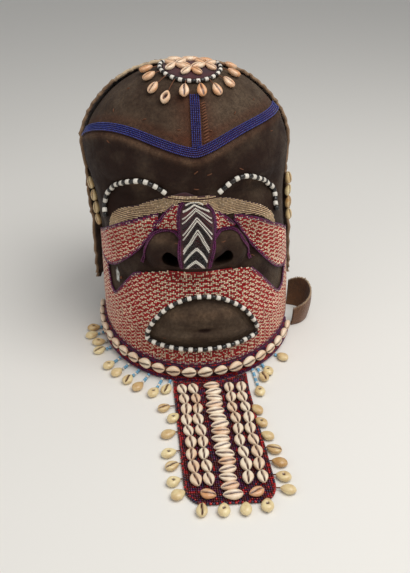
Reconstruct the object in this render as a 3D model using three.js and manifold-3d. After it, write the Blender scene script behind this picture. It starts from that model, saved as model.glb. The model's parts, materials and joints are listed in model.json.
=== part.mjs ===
// A carved wooden helmet mask, covered with hide and sewn with glass beads and cowrie shells.
// Millimetres, +Z up. The mask stands on its rim and faces -Y, so +X is on the viewer's right.
// A place on the face is given by two numbers: an angle round the head, in degrees from the
// front towards +X, and a height along the head's profile from the rim, in millimetres.
import * as THREE from "three";
import { mergeVertices } from "three/addons/utils/BufferGeometryUtils.js";
import Module from "manifold-3d";

const wasm = await Module();
wasm.setup();

// The carved head
const CHEEK_HALF_WIDTH = 112;
const RIM_SPREAD = 8; // how much wider the right side is at the rim
const RIM_SPREAD_LEFT = 2;
const TEMPLE_BULGE = 9;
const TEMPLE_HEIGHT = 252;
const BROW_DEPTH = 96; // from the head's axis forward to the brow
const MUZZLE_REACH = 44.5; // how much further forward the muzzle and the chin stand
const MUZZLE_TOP = 172;
const MUZZLE_FOOT = 55;
const BACK_DEPTH = 150;
const NAPE_TUCK = 25; // how much the nape draws in towards the rim
const NAPE_HEIGHT = 150;
const DOME_LEAN = -7; // the dome leans a little to the viewer's left
const SPRING = 215; // height at which the dome begins
const CROWN = 335;
const DOME_ARC = 190; // length of the profile from the spring line to the crown
const DOME_POWER = 2.4; // over 2, so the dome is fuller than an ellipse
const CROWN_FALL = 14; // how much lower the dome runs behind the crown
const CROWN_FALL_REACH = 30;
const WALL = 13;

// The facets lie closer together where the carving is.
const FACE_COLUMNS = [0, 5.5, 11, 17, 23, 30, 37, 46, 56, 67, 78, 90];
const FACE_ROWS = [0, 20, 42, 50, 61, 74, 88, 104, 120, 127, 133, 139, 147, 156, 165, 174, 184, 194, 204]
  .concat([215, 226, 238, 250, 263, 276]);

// The carved face
const NOSE_RISE = 27;
const NOSE_ROOT = 224;
const NOSE_FOOT = 133;
const NOSE_RIDGE = 11; // half the width of the flat ridge
const WING_RISE = 15;
const WING_OUT = 36; // from the middle line to the middle of a nostril wing
const WING_HEIGHT = 152;
const NOSTRIL_OUT = 26;
const NOSTRIL_HEIGHT = 143;
const NOSTRIL_RADII = [12, 9.5];
const CHEEK_RISE = 9;
const SOCKET_DEPTH = 6;
const LIP_RISE = 9;
const LIP_MARGIN = 6; // from the bead loop in to the foot of the lips
const MOUTH_MIDDLE = 2; // degrees
const MOUTH_SPREAD = 33; // degrees from its middle to a corner
const MOUTH_CORNER = 51;
const MOUTH_TOP = 105;
const MOUTH_FOOT = 46;

// Beadwork, bands and shells
const CLEAR = 1.7; // from the carved surface to the back of the beadwork
const BEADWORK = 2.4; // cloth and the beads on it
const BAND_WIDTH = 10.6; // five lines of beads
const PONY_BEAD = 5.6; // black and white beads round the eyes, mouth and crown
const SHELL = [17.5, 12.2, 7.6]; // length, width and height of a common cowrie
const CUT_EDGE = 12; // where the cap's cut front edge stands, behind the head's axis
const CUT_BOW = 17.5; // how much further back it runs behind the crown's round cloth
const CAP_HIDE = 3.6;
const CAP_GAP = 2; // between the head and the hide at the back
const CAP_FLARE_LOW = 9.5; // how much further the cut edge stands away beside the cheeks
const CAP_FLARE_TOP = 2;
const CAP_BEND = 225; // height at which the edge begins to stand away
const CAP_HEM_SIDE = 54; // height of the cap's hem, beside the jaw and over the nape
const CAP_HEM_BACK = 12;
const CHIN_CLOTH = 2.2;
const CHIN_FOOT = 1.2; // height of the chin band's lower edge
const PANEL_TOP = -150; // where the beard panel leaves the chin
const PANEL_END = -332;
const PANEL_WIDTH = 87;
const PANEL_THICK = 3;
const COLUMN_SHELLS = 9;
const COLUMN_PITCH = 17.2;
const MIDDLE_SHELLS = 16; // the middle column lies crosswise
const MIDDLE_PITCH = 10.85;
const FLOOR_GAP = 0.3;

const clamp = THREE.MathUtils.clamp;
const lerp = THREE.MathUtils.lerp;
const step = (low, high, t) => THREE.MathUtils.smoothstep(t, low, high);
const fall = (high, low, t) => 1 - step(low, high, t);
const bell = (t, width, power = 2) => Math.exp(-(Math.abs(t / width) ** power));
const degrees = THREE.MathUtils.degToRad;

// Surface of the head without its carving: an oval that changes with height, closed by a dome.
function closing(z) {
  const t = clamp((z - SPRING) / (CROWN - SPRING), 0, 1);
  return (1 - t ** DOME_POWER) ** (1 / DOME_POWER);
}

// How much lower the dome is at a distance behind the crown, at a part t of its own height
const crownFall = (y, t) => CROWN_FALL * t * t * (1 - Math.exp(-Math.max(y, 0) / CROWN_FALL_REACH));

function headPoint(angle, height) {
  const quarter = clamp((height - SPRING) / DOME_ARC, 0, 1) * (Math.PI / 2);
  const z = height < SPRING ? height : SPRING + (CROWN - SPRING) * Math.sin(quarter) ** (2 / DOME_POWER);
  const low = clamp(z, 0, SPRING);
  const a = degrees(angle);
  const spread = (Math.sin(a) < 0 ? RIM_SPREAD_LEFT : RIM_SPREAD) * Math.cos((Math.PI * low) / (2 * SPRING)) ** 2;
  const width = CHEEK_HALF_WIDTH + spread + TEMPLE_BULGE * bell(z - TEMPLE_HEIGHT, 45);
  const front = BROW_DEPTH + MUZZLE_REACH * fall(MUZZLE_TOP, MUZZLE_FOOT, z) + 8 * bell(z - 250, 35);
  const back = BACK_DEPTH - NAPE_TUCK * clamp(1 - z / NAPE_HEIGHT, 0, 1) ** 2;
  const depth = Math.cos(a) > 0 ? front : back;
  const x = width * closing(z) * Math.sin(a) + DOME_LEAN * step(120, 250, z);
  const y = -depth * closing(z) * Math.cos(a);
  return new THREE.Vector3(x, y, z - crownFall(y, Math.max(z - SPRING, 0) / (CROWN - SPRING)));
}

function headNormal(angle, height) {
  const h = 0.25;
  if (height > SPRING + DOME_ARC - h) return new THREE.Vector3(0, 0, 1);
  const round = headPoint(angle + h, height).sub(headPoint(angle - h, height));
  const up = headPoint(angle, height + h).sub(headPoint(angle, height - h));
  return round.cross(up).normalize();
}

// The middle line of the nose drifts to the viewer's right as it climbs.
const noseLine = (height) => 3 * step(120, 235, height);

// Height of the V band's centre line, whose left arm droops
function bandHeight(angle) {
  const out = Math.abs(angle - 3);
  if (angle > 3) return 260 + 26 * (1 - bell(out, 24, 1.5));
  return 260 + 24 * (1 - bell(out, 30, 1.5)) - 0.004 * Math.max(out - 30, 0) ** 2.2;
}

// Upper and lower edge of the mouth
function mouthEdge(angle, side) {
  const t = clamp((angle - MOUTH_MIDDLE) / MOUTH_SPREAD, -1, 1);
  const arch = Math.max(1 - t * t, 0);
  if (side > 0) return MOUTH_CORNER + (MOUTH_TOP - MOUTH_CORNER) * arch ** 0.65;
  return MOUTH_CORNER - (MOUTH_CORNER - MOUTH_FOOT) * arch ** 0.5;
}

// How far the carving stands out from the head's plain surface
function relief(angle, height) {
  const across = Math.abs(2 * (angle - noseLine(height)));
  const noseWidth = 20 + 14 * fall(220, 150, height);
  const nose = NOSE_RISE * fall(NOSE_ROOT, 148, height) * step(NOSE_FOOT - 9, NOSE_FOOT + 5, height);
  const ridge = nose * fall(noseWidth, NOSE_RIDGE, across);
  const oval = ((across - WING_OUT) / 25) ** 2 + ((height - WING_HEIGHT) / 27) ** 2;
  const wing = WING_RISE * fall(1.15, 0.15, oval) * step(NOSE_FOOT - 9, NOSE_FOOT + 2, height);
  const pit = 9 * bell(across - NOSTRIL_OUT, 11) * bell(height - NOSTRIL_HEIGHT + 5, 9);
  const side = Math.abs(angle - 2);
  const cheek = CHEEK_RISE * bell(side - 46, 19, 4) * bell(height - 160, 36, 4);
  const ledge = 4 * bell(side, 62, 6) * bell(height - 190, 14);
  const eye = Math.abs(angle - noseLine(height)) - 38;
  const socket = SOCKET_DEPTH * bell(eye, 22, 4) * bell(height - 207, 17, 4);
  const lid = 5 * bell(eye, 15) * bell(height - 203, 9);
  const brow = 4 * bell(height - bandHeight(angle) + 10, 8) * fall(95, 75, Math.abs(angle));
  const t = clamp((angle - MOUTH_MIDDLE) / (MOUTH_SPREAD - LIP_MARGIN / 2), -1, 1);
  const shown = MOUTH_MIDDLE + t * MOUTH_SPREAD;
  const low = mouthEdge(shown, -1) + LIP_MARGIN;
  const high = mouthEdge(shown, 1) - LIP_MARGIN;
  const inMouth = clamp((height - low) / Math.max(high - low, 1), 0, 1);
  const lips = LIP_RISE * Math.sin(Math.PI * inMouth) ** 0.7 * Math.max(1 - t * t, 0) ** 0.7;
  const crease = 4 * bell(height - 65 - 4 * (1 - t * t), 4.5) * fall(27, 18, side);
  return ridge + wing - pit + cheek + ledge - socket + lid + brow + lips - crease;
}

// A point at a given lift over the carved face, and one over the plain head
function facePoint(angle, height, lift = 0) {
  return headPoint(angle, height).addScaledVector(headNormal(angle, height), relief(angle, height) + lift);
}

function overHead(angle, height, lift) {
  return headPoint(angle, height).addScaledVector(headNormal(angle, height), lift);
}

// A closed geometry from points and triangles, turned so that its faces point out
function closedGeometry(points, faces) {
  let volume = 0;
  for (const [i, j, k] of faces) {
    volume += points[i].dot(new THREE.Vector3().crossVectors(points[j], points[k]));
  }
  const order = volume < 0 ? faces.map(([i, j, k]) => [i, k, j]) : faces;
  const geometry = new THREE.BufferGeometry().setFromPoints(points);
  geometry.setIndex(order.flat());
  geometry.computeVertexNormals();
  return geometry;
}

// A slab between an inner and an outer sheet. at(u, v, side) gives a point, with u and v from 0
// to 1 and side 0 on the inner sheet and 1 on the outer one.
function slab(columns, rows, at) {
  const points = [];
  const faces = [];
  const place = (i, j, side) => (i * (rows + 1) + j) * 2 + side;
  const quad = (a, b, c, d) => faces.push([a, b, c], [a, c, d]);
  for (let i = 0; i <= columns; i++) {
    for (let j = 0; j <= rows; j++) points.push(at(i / columns, j / rows, 0), at(i / columns, j / rows, 1));
  }
  for (let i = 0; i < columns; i++) {
    for (let j = 0; j < rows; j++) {
      quad(place(i, j, 1), place(i + 1, j, 1), place(i + 1, j + 1, 1), place(i, j + 1, 1));
      quad(place(i, j, 0), place(i, j + 1, 0), place(i + 1, j + 1, 0), place(i + 1, j, 0));
    }
    quad(place(i, 0, 0), place(i + 1, 0, 0), place(i + 1, 0, 1), place(i, 0, 1));
    quad(place(i, rows, 1), place(i + 1, rows, 1), place(i + 1, rows, 0), place(i, rows, 0));
  }
  for (let j = 0; j < rows; j++) {
    quad(place(0, j, 1), place(0, j + 1, 1), place(0, j + 1, 0), place(0, j, 0));
    quad(place(columns, j, 0), place(columns, j + 1, 0), place(columns, j + 1, 1), place(columns, j, 1));
  }
  return closedGeometry(points, faces);
}

// A round body lofted through rings, closed by a point at each end or joined into a loop.
// sections is a list of { centre, across, up, half, rise, drop }: half is the half width, and
// rise and drop are how far the section reaches over and under its centre.
function loft(sections, sides, loop = false) {
  const points = [];
  const faces = [];
  for (const { centre, across, up, half, rise, drop } of sections) {
    for (let k = 0; k < sides; k++) {
      const turn = (2 * Math.PI * (k + 0.5)) / sides;
      const tall = Math.sin(turn) > 0 ? rise : drop;
      const point = centre.clone().addScaledVector(across, half * Math.cos(turn));
      points.push(point.addScaledVector(up, tall * Math.sin(turn)));
    }
  }
  const bands = loop ? sections.length : sections.length - 1;
  for (let i = 0; i < bands; i++) {
    for (let k = 0; k < sides; k++) {
      const a = i * sides + k;
      const b = i * sides + ((k + 1) % sides);
      const c = ((i + 1) % sections.length) * sides + ((k + 1) % sides);
      const d = ((i + 1) % sections.length) * sides + k;
      faces.push([a, b, c], [a, c, d]);
    }
  }
  if (!loop) {
    const last = (sections.length - 1) * sides;
    for (let k = 1; k < sides - 1; k++) faces.push([0, k + 1, k], [last, last + k, last + k + 1]);
  }
  return closedGeometry(points, faces);
}

// Sections along a path for things strung one after another. where(s) gives { centre, up } at a
// length s in mm, and each item is [s, half, rise, drop].
function strung(where, items, sides, loop = false) {
  const sections = items.map(([s, half, rise, drop = rise]) => {
    const { centre, up } = where(s);
    const along = where(s + 0.5).centre.sub(where(s - 0.5).centre).normalize();
    const across = new THREE.Vector3().crossVectors(up, along).normalize();
    return { centre, across, up: new THREE.Vector3().crossVectors(along, across), half, rise, drop };
  });
  return loft(sections, sides, loop);
}

// A path over the face through [angle, height] points, at a lift, read by its length in mm
function facePath(places, lift, loop = false) {
  const flat = places.map(([angle, height]) => new THREE.Vector3(angle, height, 0));
  const plan = new THREE.CatmullRomCurve3(flat, loop, "centripetal");
  const count = 200;
  const spots = Array.from({ length: count + 1 }, (_, i) => plan.getPoint(i / count));
  const line = spots.map(({ x, y }) => facePoint(x, y, lift));
  const travelled = [0];
  for (let i = 1; i <= count; i++) travelled.push(travelled[i - 1] + line[i].distanceTo(line[i - 1]));
  const total = travelled[count];
  const where = (s) => {
    const t = loop ? ((s % total) + total) % total : s;
    const i = clamp(travelled.findIndex((d) => d > t), 1, count) || 1;
    const last = t >= total ? count : i;
    const k = (t - travelled[last - 1]) / (travelled[last] - travelled[last - 1]);
    const spot = spots[last - 1].clone().lerp(spots[last], k);
    return { centre: line[last - 1].clone().lerp(line[last], k), up: headNormal(spot.x, spot.y) };
  };
  return { where, total };
}

function straightPath(from, to, up) {
  const total = from.distanceTo(to);
  return { where: (s) => ({ centre: from.clone().lerp(to, s / total), up }), total };
}

// White and black beads in turn: a full ring for each white bead and a drawn-in one for each
// black bead, which is a little thinner
function beadRow(path, size, sides, loop = false) {
  const count = Math.round(path.total / (2 * size));
  const pitch = path.total / count;
  const items = [];
  for (let i = 0; i < count; i++) {
    items.push([(i + 0.1) * pitch, size * 0.4, size * 0.4], [(i + 0.6) * pitch, size * 0.5, size * 0.5]);
  }
  if (!loop) items.push([(count - 0.05) * pitch, size * 0.4, size * 0.4]);
  return strung(path.where, items, sides, loop);
}

// The rings of one cowrie that lies along a path from s to s + length, its slit side up
function shellItems(s, length, width = SHELL[1], height = SHELL[2], neck = 0.9) {
  return [
    [s + 0.02 * length, neck, neck],
    [s + 0.3 * length, width * 0.47, height * 0.42, height * 0.5],
    [s + 0.72 * length, width * 0.5, height * 0.42, height * 0.5],
  ];
}

// Booleans
function solidOf(geometry) {
  const bare = geometry.clone();
  bare.deleteAttribute("normal");
  bare.deleteAttribute("uv");
  const merged = mergeVertices(bare, 1e-3);
  return new wasm.Manifold(
    new wasm.Mesh({
      numProp: 3,
      vertProperties: new Float32Array(merged.getAttribute("position").array),
      triVerts: new Uint32Array(merged.getIndex().array),
    }),
  );
}

function geometryOf(solid) {
  const { vertProperties, triVerts } = solid.getMesh();
  const geometry = new THREE.BufferGeometry();
  geometry.setAttribute("position", new THREE.BufferAttribute(new Float32Array(vertProperties), 3));
  geometry.setIndex(new THREE.BufferAttribute(new Uint32Array(triVerts), 1));
  geometry.computeVertexNormals();
  return geometry;
}

// Materials
const finish = (color, roughness, metalness = 0) => new THREE.MeshStandardMaterial({ color, roughness, metalness });
const HIDE_DARK = finish(0x43362c, 0.62);
const HIDE_BROWN = finish(0x6d4a2c, 0.85);
const BEADS_BLUE = finish(0x26357c, 0.3);
const BEADS_TAN = finish(0xa98f74, 0.45);
const BEADS_RED = finish(0xb8434a, 0.35);
const BEADS_BLACK_WHITE = finish(0x5a5650, 0.3);
const CLOTH_PURPLE = finish(0x3c1f33, 0.85);
const SHELL_CREAM = finish(0xe6cfa8, 0.35);
const SHELL_YELLOW = finish(0xd9c57f, 0.4);

const mask = new THREE.Group();

function add(name, geometry, material) {
  const mesh = new THREE.Mesh(geometry, material);
  mesh.name = name;
  mask.add(mesh);
}

// The helmet: the carved head, hollowed, with two nostril holes to look through
function closedHead(angles, heights, at) {
  const points = [];
  const faces = [];
  const around = angles.length;
  for (const height of heights) {
    for (const angle of angles) points.push(at(angle, height));
  }
  const foot = points.length;
  points.push(new THREE.Vector3(0, 0, heights[0]));
  points.push(at(0, SPRING + DOME_ARC));
  for (let i = 0; i < around; i++) {
    const next = (i + 1) % around;
    const top = (heights.length - 1) * around;
    for (let j = 0; j < heights.length - 1; j++) {
      const row = j * around;
      faces.push([row + i, row + next, row + around + next], [row + i, row + around + next, row + around + i]);
    }
    faces.push([foot, next, i], [foot + 1, top + i, top + next]);
  }
  return closedGeometry(points, faces);
}

function nostrilCutter(side) {
  const angle = noseLine(NOSTRIL_HEIGHT) + (side * NOSTRIL_OUT) / 2;
  const centre = facePoint(angle, NOSTRIL_HEIGHT);
  const bore = new THREE.CylinderGeometry(1, 1, 90, 14);
  bore.scale(NOSTRIL_RADII[0], 1, NOSTRIL_RADII[1]);
  bore.rotateX(degrees(-8));
  bore.rotateZ(degrees(side * 4));
  bore.translate(centre.x, centre.y, centre.z);
  return bore;
}

function carvedHead(lift) {
  const angles = FACE_COLUMNS.slice(1).reverse().map((angle) => -angle).concat(FACE_COLUMNS);
  for (let angle = 120; angle < 260; angle += 30) angles.push(angle);
  const heights = FACE_ROWS.concat([292, 310, 330, 350, 370, 388]);
  return closedHead(angles, heights, (angle, height) => facePoint(angle, height, lift));
}

// What is sewn on the head is trimmed to stay clear of the facets under it.
function sewn(geometry) {
  return geometryOf(solidOf(geometry).subtract(solidOf(carvedHead(0.4))));
}

function helmet() {
  const coarse = Array.from({ length: 16 }, (_, i) => i * 22.5);
  const levels = [-8, 60, 120, 170, 215, 255, 295, 335, 375];
  const inside = closedHead(coarse, levels, (angle, height) => overHead(angle, height, -WALL));
  let solid = solidOf(carvedHead(0)).subtract(solidOf(inside));
  for (const side of [-1, 1]) solid = solid.subtract(solidOf(nostrilCutter(side)));
  return geometryOf(solid);
}

// Beadwork sewn over the face. A field lies between a lower and an upper edge, each a smooth
// line through [angle, height] points, and the V band, chin and mouth follow formulas.
function edge(places) {
  const flat = places.map(([angle, height]) => new THREE.Vector3(angle, height, 0));
  const plan = new THREE.CatmullRomCurve3(flat, false, "centripetal");
  return (t) => plan.getPoint(t);
}

function field(columns, rows, lower, upper, lift = CLEAR, thick = BEADWORK) {
  return slab(columns, rows, (u, v, side) => {
    const place = lower(u).lerp(upper(u), v);
    return facePoint(place.x, place.y, lift + side * thick);
  });
}

const CHEEK_LOWER_LEFT = [
  [-84, 112.5], [-68, 111.8], [-58, 117.5], [-47, 129], [-34, 148], [-26, 168], [-19.4, 191],
];
const CHEEK_UPPER_LEFT = [
  [-84, 138], [-67, 152], [-55, 164.5], [-42, 179.2], [-33, 187], [-26, 191.4], [-18.8, 195.8],
];
const CHEEK_LOWER_RIGHT = [
  [84, 104], [68, 102], [60, 107], [51, 117], [38, 138], [30, 160], [25.5, 180], [22.8, 188.5],
];
const CHEEK_UPPER_RIGHT = [
  [84, 134], [68, 145], [58, 157], [46, 171], [40, 179], [35, 184.5], [29, 188.6], [23, 191.6],
];
const BRIDGE_LOWER = [
  [-51.5, 170.5], [-44, 179.5], [-36, 187], [-28, 192.6], [-22, 195.9], [-15, 202], [-9, 212], [-3.5, 216],
  [3, 213.6], [8.5, 212], [13.7, 200.7], [22, 194.5], [35.3, 188.7], [43.7, 177.6], [50, 166.5],
];
const BRIDGE_UPPER = [
  [-49.2, 181.5], [-46, 192], [-38, 199.5], [-31, 203.4], [-23, 209.6], [-14, 215.5], [-7.5, 218.5],
  [-3, 220.3], [3, 217.2], [10, 217.2], [16.2, 214.7], [27.8, 206.8], [40, 197.6], [45, 190],
  [47.7, 181.4],
];
const FLANK_OUTER_LEFT = [[-21.5, 179], [-18, 190], [-14, 199.5], [-9.6, 208.5]];
const FLANK_INNER_LEFT = [[-8.8, 180], [-8.6, 190], [-8, 200], [-6.5, 210.5]];
const FLANK_OUTER_RIGHT = [[23, 179], [19.5, 188], [16, 194], [13, 199.5]];
const FLANK_INNER_RIGHT = [[11.2, 180], [11.9, 188], [12, 194], [11.4, 201]];
const RIDGE_LEFT = [
  [-7.8, 134], [-7.8, 146], [-7.6, 162], [-7.3, 180], [-7.2, 192], [-6.4, 204], [-4.2, 213],
];
const RIDGE_RIGHT = [[5, 134], [6.2, 147], [7.8, 162], [10, 180], [10.7, 192], [10.3, 203], [7.4, 210.5]];
const MUZZLE_EDGE = [
  [-84, 111.5], [-67.6, 110.5], [-64.7, 97], [-62, 85.5], [-58, 82.6], [-52, 93], [-44.5, 108],
  [-38.5, 118.5], [-33, 122.6], [-26, 126.2], [-17.5, 129.2], [-5, 130.4], [10, 130.8], [21, 129],
  [31.5, 124.8], [37.3, 115.5], [43.3, 104], [50, 90.3], [56.5, 80], [62.5, 81], [66.5, 92], [70, 99.5],
  [84, 102],
];
const MUZZLE_LOW = 23;

function bandField(columns, from, to) {
  return slab(columns, 1, (u, v, side) => {
    const angle = lerp(from, to, u);
    const tilt = (bandHeight(angle + 1) - bandHeight(angle - 1)) / 2 / 1.9;
    const half = (BAND_WIDTH / 2) * Math.hypot(1, tilt);
    return facePoint(angle, bandHeight(angle) + lerp(-half, half, v), CLEAR + side * BEADWORK);
  });
}

function muzzleField() {
  const top = edge(MUZZLE_EDGE);
  const whole = field(24, 4, (t) => top(t).setY(MUZZLE_LOW), top);
  const reach = MOUTH_SPREAD + 1.2;
  const opening = slab(12, 2, (u, v, side) => {
    const angle = MOUTH_MIDDLE + reach * Math.cos(Math.PI * (1 - u));
    const shown = MOUTH_MIDDLE + (angle - MOUTH_MIDDLE) * (MOUTH_SPREAD / reach);
    const height = lerp(mouthEdge(shown, -1) - 2.5, mouthEdge(shown, 1) + 2.5, v);
    return facePoint(angle, height, lerp(-6, 12, side));
  });
  return sewn(geometryOf(solidOf(whole).subtract(solidOf(opening))));
}

function mouthLoop() {
  const places = [];
  const turns = 16;
  for (let i = 0; i < turns; i++) {
    const turn = (2 * Math.PI * i) / turns;
    const angle = MOUTH_MIDDLE + (MOUTH_SPREAD - 0.6) * Math.cos(turn);
    places.push([angle, mouthEdge(angle, Math.sin(turn) >= 0 ? 1 : -1)]);
  }
  return facePath(places, PONY_BEAD / 2 + CLEAR, true);
}

const EYE_LEFT = [
  [-13, 219.5], [-19, 226.5], [-24, 229.8], [-29, 229], [-35, 226], [-41, 221.3], [-47.5, 216.5],
  [-52.5, 209.5], [-54.8, 202], [-55.3, 194], [-53.6, 187.5], [-52.6, 182],
];
const EYE_RIGHT = [
  [14.5, 219], [18.5, 224], [22.5, 229], [27.5, 231.3], [33, 229.7], [40, 224], [48, 217], [54, 210],
  [55.5, 202], [54.2, 196], [51.8, 190.5], [50.6, 184.5],
];

// The chin band hangs from the beadwork and flares on to the table, with cowries sewn round it.
const CHIN_SPAN = [-98, 71];
function chinLift(height) {
  return CLEAR + 5 * (1 - height / MUZZLE_LOW) ** 1.5;
}
function chinBand() {
  return slab(26, 1, (u, v, side) => {
    const height = lerp(CHIN_FOOT, MUZZLE_LOW - 0.6, v);
    return facePoint(lerp(...CHIN_SPAN, u), height, chinLift(height) + side * CHIN_CLOTH);
  });
}
function chinCowries() {
  const height = 16;
  const lift = chinLift(height) + CHIN_CLOTH + SHELL[2] / 2 + 2;
  const path = facePath([-97, -70, -35, 0, 35, 70].map((angle) => [angle, height]), lift);
  const count = 22;
  const pitch = path.total / count;
  const items = [];
  for (let i = 0; i < count; i++) {
    items.push([(i + 0.02) * pitch, 1.8, 1.6], [(i + 0.55) * pitch, SHELL[1] / 2, 3.4, SHELL[2] / 2]);
  }
  items.push([path.total - 0.3, 1.8, 1.6]);
  return strung(path.where, items, 5);
}

// Cords with beads and a cowrie hang from the chin band and lie on the table: the angle where
// each leaves the band, the angle where its shell lies and how far from the rim it lies.
const CHIN_STRANDS = [
  [-79, -78, 22], [-74, -72, 28], [-66, -66, 17], [-60, -60, 28], [-50, -47, 32],
  [-42.5, -41, 33.5], [-35, -34, 34.5], [-28.5, -27.5, 38.5], [-20.5, -20, 40], [-16, -15.5, 29.5],
  [29.5, 22, 49], [32.5, 29, 31], [36, 33.5, 26], [47, 46.8, 18.5],
];
function chinStrand([fromAngle, toAngle, reach]) {
  const rim = (angle, lift, z) => overHead(angle, 0, lift).setZ(z);
  const from = rim(fromAngle, chinLift(CHIN_FOOT) + CHIN_CLOTH + 1.2, 3.2);
  const shellHalf = SHELL[0] / 2;
  const to = rim(toAngle, reach + shellHalf - 2, 4.6);
  const path = straightPath(from, to, new THREE.Vector3(0, 0, 1));
  const beads = Math.max(path.total - SHELL[0], 2);
  const items = [[0, 0.7, 0.7], [beads * 0.4, 1.9, 1.9], ...shellItems(beads, SHELL[0]), [path.total - 0.3, 1.6, 1.4]];
  return strung(path.where, items, 5);
}

// The beard panel: bead cloth laid out on the table from under the chin
const panelDrift = (y) => 12.5 + 8 * clamp((PANEL_TOP - 16 - y) / 145, 0, 1.2);
function panelHalf(y) {
  const corner = clamp((PANEL_END + 22 - y) / 22, 0, 1);
  return (PANEL_WIDTH / 2 + 1.5 * step(PANEL_TOP, PANEL_END, y)) * (1 - 0.4 * (1 - Math.sqrt(1 - corner ** 2)));
}
function beardPanel() {
  return slab(6, 8, (u, v, side) => {
    const across = panelDrift(PANEL_TOP) + panelHalf(PANEL_TOP) * lerp(-1, 1, u);
    const y = lerp(panelTopAt(across), PANEL_END, v ** 0.8);
    return new THREE.Vector3(panelDrift(y) + panelHalf(y) * lerp(-1, 1, u), y, FLOOR_GAP + side * PANEL_THICK);
  });
}
// The panel's first edge keeps a little off the foot of the chin band, which is an oval.
function panelTopAt(x) {
  const out = chinLift(CHIN_FOOT) + CHIN_CLOTH + 0.7;
  const wide = CHEEK_HALF_WIDTH + (x < 0 ? RIM_SPREAD_LEFT : RIM_SPREAD) + out;
  return -(BROW_DEPTH + MUZZLE_REACH + out) * Math.sqrt(1 - (x / wide) ** 2);
}
const PANEL_COLUMNS = { outer_left: -33.5, inner_left: -20.5, inner_right: 19.5, outer_right: 33.5 };
const PANEL_DECK = FLOOR_GAP + PANEL_THICK + 0.4 + SHELL[2] / 2;
const along = (offset) => (s) => {
  const y = PANEL_TOP - 7.2 - s;
  return { centre: new THREE.Vector3(panelDrift(y) + offset, y, PANEL_DECK), up: new THREE.Vector3(0, 0, 1) };
};
function panelColumn(offset) {
  const items = [];
  for (let i = 0; i < COLUMN_SHELLS; i++) {
    items.push([i * COLUMN_PITCH + 1, 1.6, 1.4], [(i + 0.55) * COLUMN_PITCH + 1, SHELL[1] / 2, 3.3, SHELL[2] / 2]);
  }
  items.push([COLUMN_SHELLS * COLUMN_PITCH + 1, 1.2, 1.2]);
  return strung(along(offset), items, 5);
}
function panelMiddle() {
  const items = [];
  for (let i = 0; i < MIDDLE_SHELLS; i++) {
    items.push([i * MIDDLE_PITCH + 1, 5.5, 1.6, 3.2], [(i + 0.55) * MIDDLE_PITCH, SHELL[0] / 2, 3.6, 3.8]);
  }
  items.push([MIDDLE_SHELLS * MIDDLE_PITCH + 1, 5.5, 1.6, 3.2]);
  return strung(along(0), items, 5);
}

// A cowrie that lies aslant in each of the panel's last corners
function panelCorner(side) {
  const middle = new THREE.Vector3(panelDrift(PANEL_END) + side * 23.5, PANEL_END + 8, PANEL_DECK);
  const half = new THREE.Vector3(side * 7.7, 2.8, 0);
  const path = straightPath(middle.clone().sub(half), middle.clone().add(half), new THREE.Vector3(0, 0, 1));
  return strung(path.where, [...shellItems(0, path.total - 0.4, 10.5, 6.6), [path.total - 0.3, 1.4, 1.2]], 5);
}

// A beaded cord along one edge of the panel with cowries hanging from it, lying on the table.
// edgeAt(s) is a point of the cord, and the shells point along outward.
function panelFringe(edgeAt, outward, total, count, reach) {
  const rings = [[0.12, 0], [0.32, 1], [0.72, 1], [0.9, 0]];
  const pitch = total / count;
  const shown = (s) => (s / pitch) % 1 > 0.2 && (s / pitch) % 1 < 0.8;
  const where = (s) => {
    const out = shown(s) ? reach / 2 : 0;
    const centre = edgeAt(s).addScaledVector(outward, out).setZ(shown(s) ? 4.6 : 2.4);
    return { centre, up: new THREE.Vector3(0, 0, 1) };
  };
  const items = [];
  for (let i = 0; i < count; i++) {
    for (const [at, wide] of rings) items.push([(i + at) * pitch, wide ? reach / 2 : 1.6, wide ? 3.6 : 1.8]);
  }
  return strung(where, items, 5);
}
function panelSide(side, from, to) {
  const count = 7;
  const edgeAt = (s) => new THREE.Vector3(panelDrift(from - s) + side * (panelHalf(from - s) + 2.6), from - s, 0);
  return panelFringe(edgeAt, new THREE.Vector3(side, -0.2, 0).normalize(), from - to, count, 18);
}
function panelFoot() {
  const edgeAt = (s) => new THREE.Vector3(panelDrift(PANEL_END) - 27 + s, PANEL_END - 2.6, 0);
  return panelFringe(edgeAt, new THREE.Vector3(0, -1, 0), 56, 4, 15);
}

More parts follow.
